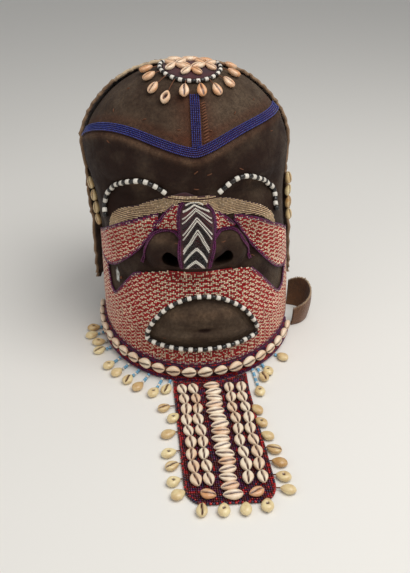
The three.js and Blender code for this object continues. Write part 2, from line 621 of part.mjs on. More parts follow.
// The crown: a round cloth with cowries in flowers, a bead ring and shells on short threads
const CROWN_CENTRE = [-2, -14];
const CROWN_RADIUS = 30;
function domeHeight(x, y) {
  const depth = y < 0 ? BROW_DEPTH : BACK_DEPTH;
  const far = Math.hypot((x - DOME_LEAN) / CHEEK_HALF_WIDTH, y / depth);
  const t = (1 - Math.min(far, 1) ** DOME_POWER) ** (1 / DOME_POWER);
  return SPRING + (CROWN - SPRING) * t - crownFall(y, t);
}
function onDome(geometry) {
  const place = geometry.getAttribute("position");
  for (let i = 0; i < place.count; i++) {
    const x = place.getX(i) + CROWN_CENTRE[0];
    const y = place.getY(i) + CROWN_CENTRE[1];
    place.setXYZ(i, x, y, place.getZ(i) + domeHeight(x, y));
  }
  return geometry;
}
function crownDisc() {
  const half = CROWN_RADIUS / 2;
  const profile = [[0, 2], [half, 2], [CROWN_RADIUS, 2], [CROWN_RADIUS, 3.8], [half, 4.6], [0, 4.6]];
  const disc = new THREE.LatheGeometry(profile.map(([r, h]) => new THREE.Vector2(r, h)), 14);
  disc.rotateX(Math.PI / 2);
  let solid = solidOf(sewn(onDome(disc)));
  const flowers = [[-13.5, 6], [1, -9], [14, 5]];
  flowers.forEach(([fx, fy], f) => {
    for (let i = 0; i < 4; i++) {
      const turn = degrees(90 * i + 35 + 20 * f);
      const shell = new THREE.SphereGeometry(0.5, 5, 3);
      shell.rotateZ(Math.PI / 2);
      shell.scale(14.5, 9, 6);
      shell.translate(7.6, 0, 5.2);
      shell.rotateZ(turn);
      shell.translate(fx, fy, 0);
      solid = solid.add(solidOf(onDome(shell)));
    }
  });
  return geometryOf(solid);
}
function crownRing() {
  const radius = CROWN_RADIUS + 3.4;
  const total = 2 * Math.PI * radius;
  const where = (s) => {
    const turn = s / radius;
    const x = CROWN_CENTRE[0] + radius * Math.cos(turn);
    const y = CROWN_CENTRE[1] + radius * Math.sin(turn);
    return { centre: new THREE.Vector3(x, y, domeHeight(x, y) + 3), up: new THREE.Vector3(0, 0, 1) };
  };
  return beadRow({ where, total }, 4.8, 4, true);
}
// The direction of each thread, how much longer it is than the shortest, and how much higher its
// shell lies, where it lies on the band
const CROWN_THREADS = [
  [-180, 0, 0], [-159, 0, 0], [-139, 6, 0], [-120, 8, 0], [-100, 0, 2.6],
  [-78, 0, 3.4], [-56.5, 0, 0], [-33, 0, 0], [-6, 0, 0], [17, 0, 0],
];
function crownShell([turnDegrees, longer, higher]) {
  const turn = degrees(turnDegrees);
  const heading = new THREE.Vector3(Math.cos(turn), Math.sin(turn), 0);
  const where = (s) => {
    const reach = CROWN_RADIUS + 7.2 + s;
    const x = CROWN_CENTRE[0] + heading.x * reach;
    const y = CROWN_CENTRE[1] + heading.y * reach;
    return { centre: new THREE.Vector3(x, y, domeHeight(x, y) + 5.4 + higher), up: new THREE.Vector3(0, 0, 1) };
  };
  const items = [[0, 0.7, 0.7], ...shellItems(3 + longer, 15.5, 10.5, 6.6), [18.2 + longer, 1.5, 1.3]];
  return strung(where, items, 5);
}

// The hide cap covers the back of the head. Its cut front edge stands away from the dome like
// an arch, from one ear over the top to the other, and it ends above the nape.
const cutEdge = (x) => CUT_EDGE + CUT_BOW * bell(x - CROWN_CENTRE[0], 27, 2.5);

// How far round from the back, in degrees, the cap reaches on one side at a height
function capReach(side, height) {
  let inside = 0;
  let outside = 90;
  for (let i = 0; i < 24; i++) {
    const middle = (inside + outside) / 2;
    const { x, y } = headPoint(180 - side * middle, height);
    if (y > cutEdge(x)) inside = middle;
    else outside = middle;
  }
  return inside;
}

function hideCap() {
  const top = SPRING + DOME_ARC - 17.3;
  return slab(12, 9, (u, v, side) => {
    const height = lerp(CAP_HEM_SIDE, top, v ** 0.8);
    const angle = 180 + lerp(-capReach(1, height), capReach(-1, height), u);
    const hem = lerp(CAP_HEM_SIDE, CAP_HEM_BACK, step(0, 0.25, Math.min(u, 1 - u)));
    const place = v < 0.2 ? lerp(hem, height, v / 0.2) : height;
    const point = headPoint(angle, place);
    const right = step(-60, 60, point.x);
    const stand = lerp(CAP_FLARE_TOP, CAP_FLARE_LOW, fall(CAP_BEND, CAP_BEND - 50, point.z)) * lerp(1, 0.6, right);
    const flare = stand * bell(point.y - cutEdge(point.x), 26);
    return overHead(angle, place, CAP_GAP + flare + side * CAP_HIDE);
  });
}

// A flap of the same hide curls forward beside the viewer's right jaw and stands on the table.
const FLAP_PATH = [[127, -36], [140, -31], [151, -16], [150, 0], [141, 10], [129, 15]];
function neckFlap() {
  const plan = new THREE.CatmullRomCurve3(FLAP_PATH.map(([x, y]) => new THREE.Vector3(x, y, 0)), false, "centripetal");
  return slab(9, 2, (u, v, side) => {
    const centre = plan.getPointAt(u);
    const forward = plan.getTangentAt(u);
    const outward = new THREE.Vector3(-forward.y, forward.x, 0);
    const tall = lerp(36, 50, step(0.2, 0.8, u)) * Math.sin(Math.PI * lerp(0.3, 0.72, u));
    const lean = 4 * Math.sin(Math.PI * v * 0.6);
    return centre.addScaledVector(outward, 3.2 * (side - 0.5) - lean).setZ(FLOOR_GAP + tall * v);
  });
}

// Rows of cowries down the cap's edge beside the eyes
function sideCowries(side) {
  const low = 138;
  const high = 204;
  const where = (s) => {
    const height = high - s;
    const point = headPoint(side * 92, height);
    const centre = point.setX(point.x + (side < 0 ? -4.6 : 8)).setY(-1.5 + 0.02 * s);
    return { centre, up: new THREE.Vector3(side * 0.8, -0.6, 0).normalize() };
  };
  const items = [];
  const count = 4;
  const pitch = (high - low) / count;
  for (let i = 0; i < count; i++) items.push(...shellItems(i * pitch, pitch, 10, 6.5));
  items.push([high - low - 0.3, 1, 1]);
  return strung(where, items, 5);
}

add("helmet", helmet(), HIDE_DARK);
add("hide_cap", sewn(hideCap()), HIDE_BROWN);
add("neck_flap", neckFlap(), HIDE_BROWN);
add("brow_bead_band", bandField(24, -84, 84), BEADS_BLUE);
const crownBand = [[4, bandHeight(8) + BAND_WIDTH / 2 + 0.6], [4.5, 300], [5.5, 331]];
const crownBandPath = facePath(crownBand, CLEAR + BEADWORK / 2);
add(
  "crown_bead_band",
  slab(1, 6, (u, v, side) => {
    const { centre, up } = crownBandPath.where(v * crownBandPath.total);
    return centre.addScaledVector(up, (side - 0.5) * BEADWORK).setX(centre.x + lerp(-0.5, 0.5, u) * BAND_WIDTH);
  }),
  BEADS_BLUE,
);
add("bridge_bead_band", sewn(field(20, 2, edge(BRIDGE_LOWER), edge(BRIDGE_UPPER))), BEADS_TAN);
add("cheek_beadwork_left", sewn(field(8, 4, edge(CHEEK_LOWER_LEFT), edge(CHEEK_UPPER_LEFT))), BEADS_RED);
add("cheek_beadwork_right", sewn(field(8, 4, edge(CHEEK_LOWER_RIGHT), edge(CHEEK_UPPER_RIGHT))), BEADS_RED);
add("nose_beadwork_left", sewn(field(5, 4, edge(FLANK_OUTER_LEFT), edge(FLANK_INNER_LEFT))), BEADS_RED);
add("nose_beadwork_right", sewn(field(5, 4, edge(FLANK_OUTER_RIGHT), edge(FLANK_INNER_RIGHT))), BEADS_RED);
add("nose_ridge_band", sewn(field(9, 3, edge(RIDGE_LEFT), edge(RIDGE_RIGHT))), BEADS_BLACK_WHITE);
add("muzzle_beadwork", muzzleField(), BEADS_RED);
add("eye_beads_left", beadRow(facePath(EYE_LEFT, PONY_BEAD / 2 + 0.5), PONY_BEAD, 4), BEADS_BLACK_WHITE);
add("eye_beads_right", beadRow(facePath(EYE_RIGHT, PONY_BEAD / 2 + 0.5), PONY_BEAD, 4), BEADS_BLACK_WHITE);
add("mouth_beads", beadRow(mouthLoop(), PONY_BEAD, 4, true), BEADS_BLACK_WHITE);
add("crown_disc", crownDisc(), SHELL_CREAM);
add("crown_bead_ring", crownRing(), BEADS_BLACK_WHITE);
CROWN_THREADS.forEach((turn, i) => add(`crown_shell_${i + 1}`, crownShell(turn), SHELL_YELLOW));
add("chin_band", chinBand(), CLOTH_PURPLE);
add("chin_cowries", chinCowries(), SHELL_CREAM);
CHIN_STRANDS.forEach((strand, i) => add(`chin_strand_${i + 1}`, chinStrand(strand), SHELL_YELLOW));
add("beard_panel", beardPanel(), CLOTH_PURPLE);
for (const [name, offset] of Object.entries(PANEL_COLUMNS)) {
  add(`beard_cowries_${name}`, panelColumn(offset), SHELL_CREAM);
}
add("beard_cowries_middle", panelMiddle(), SHELL_CREAM);
add("beard_cowrie_corner_left", panelCorner(-1), SHELL_CREAM);
add("beard_cowrie_corner_right", panelCorner(1), SHELL_CREAM);
add("beard_fringe_left", panelSide(-1, -184, -328), SHELL_YELLOW);
add("beard_fringe_right", panelSide(1, -193, -328), SHELL_YELLOW);
add("beard_fringe_foot", panelFoot(), SHELL_YELLOW);
add("side_cowries_left", sideCowries(-1), SHELL_YELLOW);
add("side_cowries_right", sideCowries(1), SHELL_YELLOW);

// The origin is under the middle of the whole object, on the table.
const box = new THREE.Box3().setFromObject(mask);
mask.position.set(-(box.min.x + box.max.x) / 2, -(box.min.y + box.max.y) / 2, -box.min.z);

export default mask;
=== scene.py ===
"""A helmet mask covered with hide, sewn with glass beads and cowrie shells.

Every surface is worked out over the carved head. A place on the head is an angle round it, in degrees from
the front towards +X, and a height along its profile from the rim, in millimetres. The mask faces -Y.
"""

import json

import bpy
import numpy as np
from bpy.props import FloatProperty, FloatVectorProperty, PointerProperty
from mathutils import Matrix, Vector


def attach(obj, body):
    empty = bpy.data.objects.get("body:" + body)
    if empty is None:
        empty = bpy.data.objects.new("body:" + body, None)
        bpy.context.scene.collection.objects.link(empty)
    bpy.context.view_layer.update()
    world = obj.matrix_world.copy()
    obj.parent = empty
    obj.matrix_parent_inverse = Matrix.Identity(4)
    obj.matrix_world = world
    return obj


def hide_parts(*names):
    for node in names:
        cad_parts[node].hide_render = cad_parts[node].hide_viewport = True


bl_info = {
    "name": "Helmet mask with beadwork",
    "version": (1, 0, 0),
    "blender": (4, 5, 0),
    "location": "View3D > Sidebar > Mask",
    "description": "Makes the pieces of a hide-covered helmet mask with beadwork and cowrie shells",
    "category": "Add Mesh",
}

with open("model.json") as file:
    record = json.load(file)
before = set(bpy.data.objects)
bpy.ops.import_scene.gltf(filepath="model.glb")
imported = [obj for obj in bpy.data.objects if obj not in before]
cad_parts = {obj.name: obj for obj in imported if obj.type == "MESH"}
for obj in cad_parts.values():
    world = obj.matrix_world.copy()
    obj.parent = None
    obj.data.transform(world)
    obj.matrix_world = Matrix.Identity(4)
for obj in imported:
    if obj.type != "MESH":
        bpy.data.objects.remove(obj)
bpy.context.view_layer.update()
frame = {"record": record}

MM = 0.001
RIM_FRONT = -134.0  # where the rim's mount stands, in the head's own millimetres
MOUNT = frame["record"]["mounts"][0]["pos_m"]
SHIFT = np.array([MOUNT[0], MOUNT[1] - RIM_FRONT * MM, 0.0])

# The carved head
CHEEK_HALF_WIDTH, RIM_SPREAD, RIM_SPREAD_LEFT = 112.0, 8.0, 2.0
TEMPLE_BULGE, TEMPLE_HEIGHT = 9.0, 252.0
BROW_DEPTH, MUZZLE_REACH, MUZZLE_TOP, MUZZLE_FOOT = 96.0, 44.5, 172.0, 55.0
BACK_DEPTH, NAPE_TUCK, NAPE_HEIGHT = 150.0, 25.0, 150.0
DOME_LEAN, SPRING, CROWN, DOME_ARC, DOME_POWER = -7.0, 215.0, 335.0, 190.0, 2.4
CROWN_FALL, CROWN_FALL_REACH = 14.0, 30.0
WALL = 13.0

# The carved face
NOSE_RISE, NOSE_ROOT, NOSE_FOOT, NOSE_RIDGE = 27.0, 224.0, 133.0, 11.0
WING_RISE, WING_OUT, WING_HEIGHT = 15.0, 36.0, 152.0
NOSTRIL_OUT, NOSTRIL_HEIGHT, NOSTRIL_RADII = 26.0, 143.0, (12.0, 9.5)
CHEEK_RISE, SOCKET_DEPTH = 9.0, 6.0
LIP_RISE, LIP_MARGIN = 9.0, 6.0
MOUTH_MIDDLE, MOUTH_SPREAD, MOUTH_CORNER, MOUTH_TOP, MOUTH_FOOT = 2.0, 33.0, 51.0, 105.0, 46.0

# What is sewn on it
BAND_WIDTH = 10.6
CHIN_LOW, MUZZLE_LOW = 1.2, 23.0
CHIN_SPAN = (-98.0, 71.0)
SHELL = np.array([17.5, 12.2, 7.6])
CAP_GAP, CAP_HIDE, CAP_FLARE_LOW, CAP_FLARE_TOP, CAP_BEND = 2.0, 3.6, 9.5, 2.0, 225.0
CUT_EDGE, CUT_BOW, CAP_HEM_SIDE, CAP_HEM_BACK = 12.0, 17.5, 54.0, 12.0
CROWN_CENTRE, CROWN_RADIUS = np.array([-2.0, -14.0]), 30.0
PANEL_TOP, PANEL_END, PANEL_WIDTH = -150.0, -332.0, 87.0

CHEEK_LOWER_LEFT = [(-84, 112.5), (-68, 111.8), (-58, 117.5), (-47, 129), (-34, 148), (-26, 168),
                    (-19.4, 191)]
CHEEK_UPPER_LEFT = [(-84, 138), (-67, 152), (-55, 164.5), (-42, 179.2), (-33, 187), (-26, 191.4),
                    (-18.8, 195.8)]
CHEEK_LOWER_RIGHT = [(84, 104), (68, 102), (60, 107), (51, 117), (38, 138), (30, 160), (25.5, 180),
                     (22.8, 188.5)]
CHEEK_UPPER_RIGHT = [(84, 134), (68, 145), (58, 157), (46, 171), (40, 179), (35, 184.5), (29, 188.6),
                     (23, 191.6)]
BRIDGE_LOWER = [(-51.5, 170.5), (-44, 179.5), (-36, 187), (-28, 192.6), (-22, 195.9), (-15, 202), (-9, 212),
                (-3.5, 216), (3, 213.6), (8.5, 212), (13.7, 200.7), (22, 194.5), (35.3, 188.7), (43.7, 177.6),
                (50, 166.5)]
BRIDGE_UPPER = [(-49.2, 181.5), (-46, 192), (-38, 199.5), (-31, 203.4), (-23, 209.6), (-14, 215.5),
                (-7.5, 218.5), (-3, 220.3), (3, 217.2), (10, 217.2), (16.2, 214.7), (27.8, 206.8),
                (40, 197.6), (45, 190), (47.7, 181.4)]
FLANK_OUTER_LEFT = [(-21.5, 179), (-18, 190), (-14, 199.5), (-9.6, 208.5)]
FLANK_INNER_LEFT = [(-8.8, 180), (-8.6, 190), (-8, 200), (-6.5, 210.5)]
FLANK_OUTER_RIGHT = [(23, 179), (19.5, 188), (16, 194), (13, 199.5)]
FLANK_INNER_RIGHT = [(11.2, 180), (11.9, 188), (12, 194), (11.4, 201)]
RIDGE_LEFT = [(-7.8, 134), (-7.8, 146), (-7.6, 162), (-7.3, 180), (-7.2, 192), (-6.4, 204), (-4.2, 213)]
RIDGE_RIGHT = [(5, 134), (6.2, 147), (7.8, 162), (10, 180), (10.7, 192), (10.3, 203), (7.4, 210.5)]
MUZZLE_EDGE = [(-84, 111.5), (-67.6, 110.5), (-64.7, 97), (-62, 85.5), (-58, 82.6), (-52, 93), (-44.5, 108),
               (-38.5, 118.5), (-33, 122.6), (-26, 126.2), (-17.5, 129.2), (-5, 130.4), (10, 130.8),
               (21, 129), (31.5, 124.8), (37.3, 115.5), (43.3, 104), (50, 90.3), (56.5, 80), (62.5, 81),
               (66.5, 92), (70, 99.5), (84, 102)]
EYE_LEFT = [(-13, 219.5), (-19, 226.5), (-24, 229.8), (-29, 229), (-35, 226), (-41, 221.3), (-47.5, 216.5),
            (-52.5, 209.5), (-54.8, 202), (-55.3, 194), (-53.6, 187.5), (-52.6, 182)]
EYE_RIGHT = [(14.5, 219), (18.5, 224), (22.5, 229), (27.5, 231.3), (33, 229.7), (40, 224), (48, 217),
             (54, 210), (55.5, 202), (54.2, 196), (51.8, 190.5), (50.6, 184.5)]
NOSTRIL_ARCH_LEFT = [(-31.4, 135.2), (-28, 150), (-24.7, 166.2), (-22, 173.9), (-16.4, 178.4), (-11.5, 177.8),
                     (-8, 176)]
NOSTRIL_ARCH_RIGHT = [(9.5, 173.7), (14.3, 176.5), (19.7, 177.6), (23.7, 173.4), (25.2, 162.3), (28.5, 149),
                      (31, 135.5)]
# The height of each white chevron at the nose's middle line, and where it meets the border
NOSE_CHEVRONS = [(215, 210.5), (210.7, 203.5), (206, 193.7), (196.8, 177), (184.4, 156), (162, 142),
                 (143.1, 133)]
HALF_RIDGE, RIDGE_FOOT, RIDGE_TOP = 14.5, 134.5, 213  # half the ridge's width in mm, and where its lines end
NECK_FLAP = [(127, -36), (140, -31), (151, -16), (150, 0), (141, 10), (129, 15)]
# Where each thread leaves the chin band and where it ends, in degrees, and how far out its shell lies
CHIN_STRANDS = [(-79, -78, 22), (-74, -72, 28), (-66, -66, 17), (-60, -60, 28), (-50, -47, 32),
                (-42.5, -41, 33.5), (-35, -34, 34.5), (-28.5, -27.5, 38.5), (-20.5, -20, 40),
                (-16, -15.5, 29.5), (29.5, 22, 49), (32.5, 29, 31), (36, 33.5, 26), (47, 46.8, 18.5)]
STRAND_LIFT, STRAND_REST = 3.2, 4.6  # how high a thread leaves the band, and its shell's middle lies
SLIT_UP = (3, 6, 9, 11)  # the threads under the chin whose shell lies slit side up
# The height of each line of beads along the chin band, and its finish
CHIN_LINES = [(21.0, 0), (19.0, 2), (17.0, 0), (6.6, 1), (4.6, 0), (2.7, 0)]
CHIN_COWRIE_HEIGHT, CHIN_COWRIE_STEP = 16.0, 18.87
# The direction of each thread of the crown, how much longer it is, and how much higher its shell lies
CROWN_THREADS = [(-180, 0, 0), (-159, 0, 0), (-139, 6, 0), (-120, 8, 0), (-100, 0, 2.6), (-78, 0, 3.4),
                 (-56.5, 0, 0), (-33, 0, 0), (-6, 0, 0), (17, 0, 0)]
HOLLOW_SHELL = -120  # the hanging shell of the crown whose back is broken open
# The middle of each flower of cowries, from the crown's middle, and the directions of its petals
FLOWERS = [(-16, -3, (42, 134, 226, 318)), (0.5, -14, (45, 135, 225, 315)), (16.5, -2, (40, 132, 224, 316)),
           (-9, 15, (5, 95, 185)), (11, 16, (15, 100, 175))]
PETAL, PETAL_OUT, HANGING_SHELL = (15.6, 8.8, 5.8), 7.8, (15.5, 10.6, 7.0)
COLUMN_PITCH, MIDDLE_PITCH = 17.2, 10.85
PANEL_COLUMNS = {"outer_left": -33.5, "inner_left": -20.5, "inner_right": 19.5, "outer_right": 33.5}
PANEL_DECK, FRINGE_REST = 7.4, 4.2  # how high the middle of a shell lies on the panel, and beside it
PANEL_BEAD, CORNER_SHELL, CORNER_OUT = 2.3, (16.2, 11.0, 7.0), 23.5
# Where the shells round the panel lie on the table
FRINGES = {
    "left": [(-43, -194), (-33, -211), (-39, -236), (-39, -264), (-36, -282), (-35, -303), (-31, -320)],
    "right": [(61, -203), (63, -224), (67, -245), (71, -265), (74, -284), (75, -303), (77, -320)],
    "foot": [(-9, -340), (12, -341), (33, -341), (54, -338)],
}
SIDE_ROW_TOP, SIDE_ROW_FOOT, SIDE_ANGLE = 204, 138, 92.0
# The rows of the head's skin: from a height to a height by a step
HEAD_ROWS = [(0, 52, 2.6), (52, 104, 1.3), (104, 300, 2.0), (300, 403, 3.6)]
HOLLOW_ROWS = [-8, 60, 120, 170, 215, 255, 295, 335, 375]
# Loops of thread over the forehead and the dome, and four on the wings, the cheek and the lips
STITCHES = [(-58, 297), (-29, 295), (-6, 285), (13, 283), (33, 300), (58, 309), (56, 267), (-49, 262),
            (3, 240), (10, 237), (3, 223), (28, 238), (-61, 330), (-9, 168), (14, 166), (33, 138), (-20, 57)]
SEAM_FOOT, SEAM_TOP, SEAM_STEP = 268, 322, 3.6
CHALK_PLACE, CHALK_SIZE, KNOT_PLACE = (-55.5, 106), (2.0, 8.2), (-51.3, 106.0)

# The stage, in metres
LIGHTS = {"overhead_light": ((0.55, -0.4, 1.5), 20.0), "left_light": ((-1.3, -0.9, 1.0), 3.5)}
LIGHT_SIZE, LIGHT_AIM, WORLD_LIGHT = 1.2, (0, -0.05, 0.1), 0.36
LENS, CAMERA_HEADING, CAMERA_PITCH, CAMERA_PLACE = 43.98, 3.6, 31.9, (-34.5, -791.2, 535.0)

# How far the beadwork's cloth and its beads stand off the carved face, in mm
CLOTH_BACK, CLOTH_FRONT, SEED_LIFT, LINE_LIFT = 0.1, 1.1, 1.9, 2.0
UP = np.array([0, 0, 1.0])

rng = np.random.default_rng(7)


# Shapes of the head, worked out on whole arrays
def smooth(low, high, t):
    """0 below low, 1 above high, and an S-curve between."""
    k = np.clip((t - low) / (high - low), 0, 1)
    return k * k * (3 - 2 * k)


def fall(high, low, t):
    """1 below low, 0 above high, and an S-curve between."""
    return 1 - smooth(low, high, t)


def bell(t, width, power=2):
    """1 in the middle, falling to 1/e at the width."""
    return np.exp(-np.abs(t / width) ** power)


def unit(v):
    """The same direction, one long."""
    return v / np.maximum(np.linalg.norm(v, axis=-1, keepdims=True), 1e-9)


def crown_fall(y, t):
    """The dome runs lower behind the crown, and less so towards its foot."""
    return CROWN_FALL * t * t * (1 - np.exp(-np.maximum(y, 0) / CROWN_FALL_REACH))


def head_point(angle, height):
    """An oval of half width and front or back depth, both changing with height, closed by a superellipse."""
    angle, height = np.broadcast_arrays(np.asarray(angle, float), np.asarray(height, float))
    quarter = np.clip((height - SPRING) / DOME_ARC, 0, 1) * np.pi / 2
    over = SPRING + (CROWN - SPRING) * np.sin(quarter) ** (2 / DOME_POWER)
    z = np.where(height < SPRING, height, over)
    t = np.clip((z - SPRING) / (CROWN - SPRING), 0, 1)
    closing = (1 - t ** DOME_POWER) ** (1 / DOME_POWER)
    turn = np.radians(angle)
    spread = np.where(np.sin(turn) < 0, RIM_SPREAD_LEFT, RIM_SPREAD)
    spread = spread * np.cos(np.pi * np.clip(z, 0, SPRING) / (2 * SPRING)) ** 2
    width = CHEEK_HALF_WIDTH + spread + TEMPLE_BULGE * bell(z - TEMPLE_HEIGHT, 45)
    front = BROW_DEPTH + MUZZLE_REACH * fall(MUZZLE_TOP, MUZZLE_FOOT, z) + 8 * bell(z - 250, 35)
    back = BACK_DEPTH - NAPE_TUCK * np.clip(1 - z / NAPE_HEIGHT, 0, 1) ** 2
    x = width * closing * np.sin(turn) + DOME_LEAN * smooth(120, 250, z)
    y = -np.where(np.cos(turn) > 0, front, back) * closing * np.cos(turn)
    return np.stack([x, y, z - crown_fall(y, t)], -1)


def head_normal(angle, height):
    """The way out of the oval: across the step round it and the step up it."""
    h = 0.25
    height = np.minimum(height, SPRING + DOME_ARC - 2 * h)
    around = head_point(angle + h, height) - head_point(angle - h, height)
    up = head_point(angle, height + h) - head_point(angle, height - h)
    return unit(np.cross(around, up))


def nose_line(height):
    """The nose's middle line drifts to the right as it climbs."""
    return 3 * smooth(120, 235, height)


def band_height(angle):
    """Centre line of the V band: a V with rounded foot whose left arm droops."""
    out = np.abs(angle - 3)
    left = 260 + 24 * (1 - bell(out, 30, 1.5)) - 0.004 * np.maximum(out - 30, 0) ** 2.2
    return np.where(angle < 3, left, 260 + 26 * (1 - bell(out, 24, 1.5)))


def mouth_edge(angle, side):
    """Upper or lower edge of the mouth: a high arch over a shallow one."""
    t = np.clip((angle - MOUTH_MIDDLE) / MOUTH_SPREAD, -1, 1)
    arch = np.maximum(1 - t * t, 0)
    if side > 0:
        return MOUTH_CORNER + (MOUTH_TOP - MOUTH_CORNER) * arch ** 0.65
    return MOUTH_CORNER - (MOUTH_CORNER - MOUTH_FOOT) * arch ** 0.5


def relief(angle, height):
    """How far the carving stands out: ridge and wings of the nose, cheeks, sockets, brow and lips."""
    across = np.abs(2 * (angle - nose_line(height)))
    nose = NOSE_RISE * fall(NOSE_ROOT, 148, height) * smooth(NOSE_FOOT - 9, NOSE_FOOT + 5, height)
    nose_width = 20 + 14 * fall(220, 150, height)
    ridge = nose * (1 - smooth(0, 1, (across - NOSE_RIDGE) / (nose_width - NOSE_RIDGE)))
    oval = ((across - WING_OUT) / 25) ** 2 + ((height - WING_HEIGHT) / 27) ** 2
    wing = WING_RISE * fall(1.15, 0.15, oval) * smooth(NOSE_FOOT - 9, NOSE_FOOT + 2, height)
    pit = 9 * bell(across - NOSTRIL_OUT, 11) * bell(height - NOSTRIL_HEIGHT + 5, 9)
    side = np.abs(angle - 2)
    cheek = CHEEK_RISE * bell(side - 46, 19, 4) * bell(height - 160, 36, 4)
    ledge = 4 * bell(side, 62, 6) * bell(height - 190, 14)
    eye = np.abs(angle - nose_line(height)) - 38
    socket = SOCKET_DEPTH * bell(eye, 22, 4) * bell(height - 207, 17, 4)
    lid = 5 * bell(eye, 15) * bell(height - 203, 9)
    brow = 4 * bell(height - band_height(angle) + 10, 8) * fall(95, 75, np.abs(angle))
    t = np.clip((angle - MOUTH_MIDDLE) / (MOUTH_SPREAD - LIP_MARGIN / 2), -1, 1)
    shown = MOUTH_MIDDLE + t * MOUTH_SPREAD
    low = mouth_edge(shown, -1) + LIP_MARGIN
    high = mouth_edge(shown, 1) - LIP_MARGIN
    in_mouth = np.clip((height - low) / np.maximum(high - low, 1), 0, 1)
    lips = LIP_RISE * np.sin(np.pi * in_mouth) ** 0.7 * np.maximum(1 - t * t, 0) ** 0.7
    crease = 4 * bell(height - 65 - 4 * (1 - t * t), 4.5) * fall(27, 18, side)
    return ridge + wing - pit + cheek + ledge - socket + lid + brow + lips - crease


def face_point(angle, height, lift=0.0):
    """A point of the carved face: the oval moved out by the relief and a lift."""
    out = relief(angle, height) + lift
    return head_point(angle, height) + head_normal(angle, height) * np.asarray(out)[..., None]


def face_normal(angle, height):
    """The way out of the carved face: across the step round it and the step up it."""
    h = 0.5
    around = face_point(angle + h, height) - face_point(angle - h, height)
    up = face_point(angle, height + h) - face_point(angle, height - h)
    return unit(np.cross(around, up))


def over_head(angle, height, lift):
    """A point over the plain oval, without the carving."""
    out = np.broadcast_to(lift, np.broadcast(angle, height).shape)
    return head_point(angle, height) + head_normal(angle, height) * out[..., None]


def dome_height(x, y):
    """The superellipse of the dome over a place in plan."""
    far = np.hypot((x - DOME_LEAN) / CHEEK_HALF_WIDTH, y / np.where(y < 0, BROW_DEPTH, BACK_DEPTH))
    t = (1 - np.minimum(far, 1) ** DOME_POWER) ** (1 / DOME_POWER)
    return SPRING + (CROWN - SPRING) * t - crown_fall(y, t)


def chin_lift(height):
    """How far the chin band stands off the face as it flares on to the table."""
    return 1.7 + 5 * (1 - height / MUZZLE_LOW) ** 1.5


def panel_drift(y):
    """The panel's middle line swings to the right as it leaves the chin."""
    return 12.5 + 8 * np.clip((PANEL_TOP - 16 - y) / 145, 0, 1.2)


def panel_half(y):
    """Half the panel's width, which rounds in at its last two corners."""
    corner = np.clip((PANEL_END + 22 - y) / 22, 0, 1)
    return (PANEL_WIDTH / 2 + 1.5 * smooth(0, 1, (y - PANEL_TOP) / (PANEL_END - PANEL_TOP))) * (
        1 - 0.4 * (1 - np.sqrt(1 - corner ** 2)))


def curve(places):
    """A centripetal spline through the places: at(t) for t from 0 to 1."""
    points = np.array(places, float)
    padded = np.vstack([2 * points[0] - points[1], points, 2 * points[-1] - points[-2]])

    def at(t):
        """The cubic between the two places on either side of t."""
        position = np.clip(np.asarray(t, float), 0, 1) * (len(points) - 1)
        i = np.minimum(position.astype(int), len(points) - 2)
        w = (position - i)[..., None]
        p0, p1, p2, p3 = (padded[i + k] for k in range(4))
        d0, d1, d2 = (np.sqrt(np.linalg.norm(b - a, axis=-1, keepdims=True))
                      for a, b in ((p0, p1), (p1, p2), (p2, p3)))
        start = ((p1 - p0) / d0 - (p2 - p0) / (d0 + d1) + (p2 - p1) / d1) * d1
        end = ((p2 - p1) / d1 - (p3 - p1) / (d1 + d2) + (p3 - p2) / d2) * d1
        return (p1 + start * w + (-3 * p1 + 3 * p2 - 2 * start - end) * w ** 2
                + (2 * p1 - 2 * p2 + start + end) * w ** 3)

    return at


def ripple(u, v, seed):
    """Uneven waves between -1 and 1, from sines whose lengths don't fit together."""
    total = 0
    for k in range(1, 5):
        total = total + np.sin(u * (2.3 * k + 0.7 * seed) + v * (1.7 * k + 0.31) + seed * k * 1.9) / k
    return total / 2.1


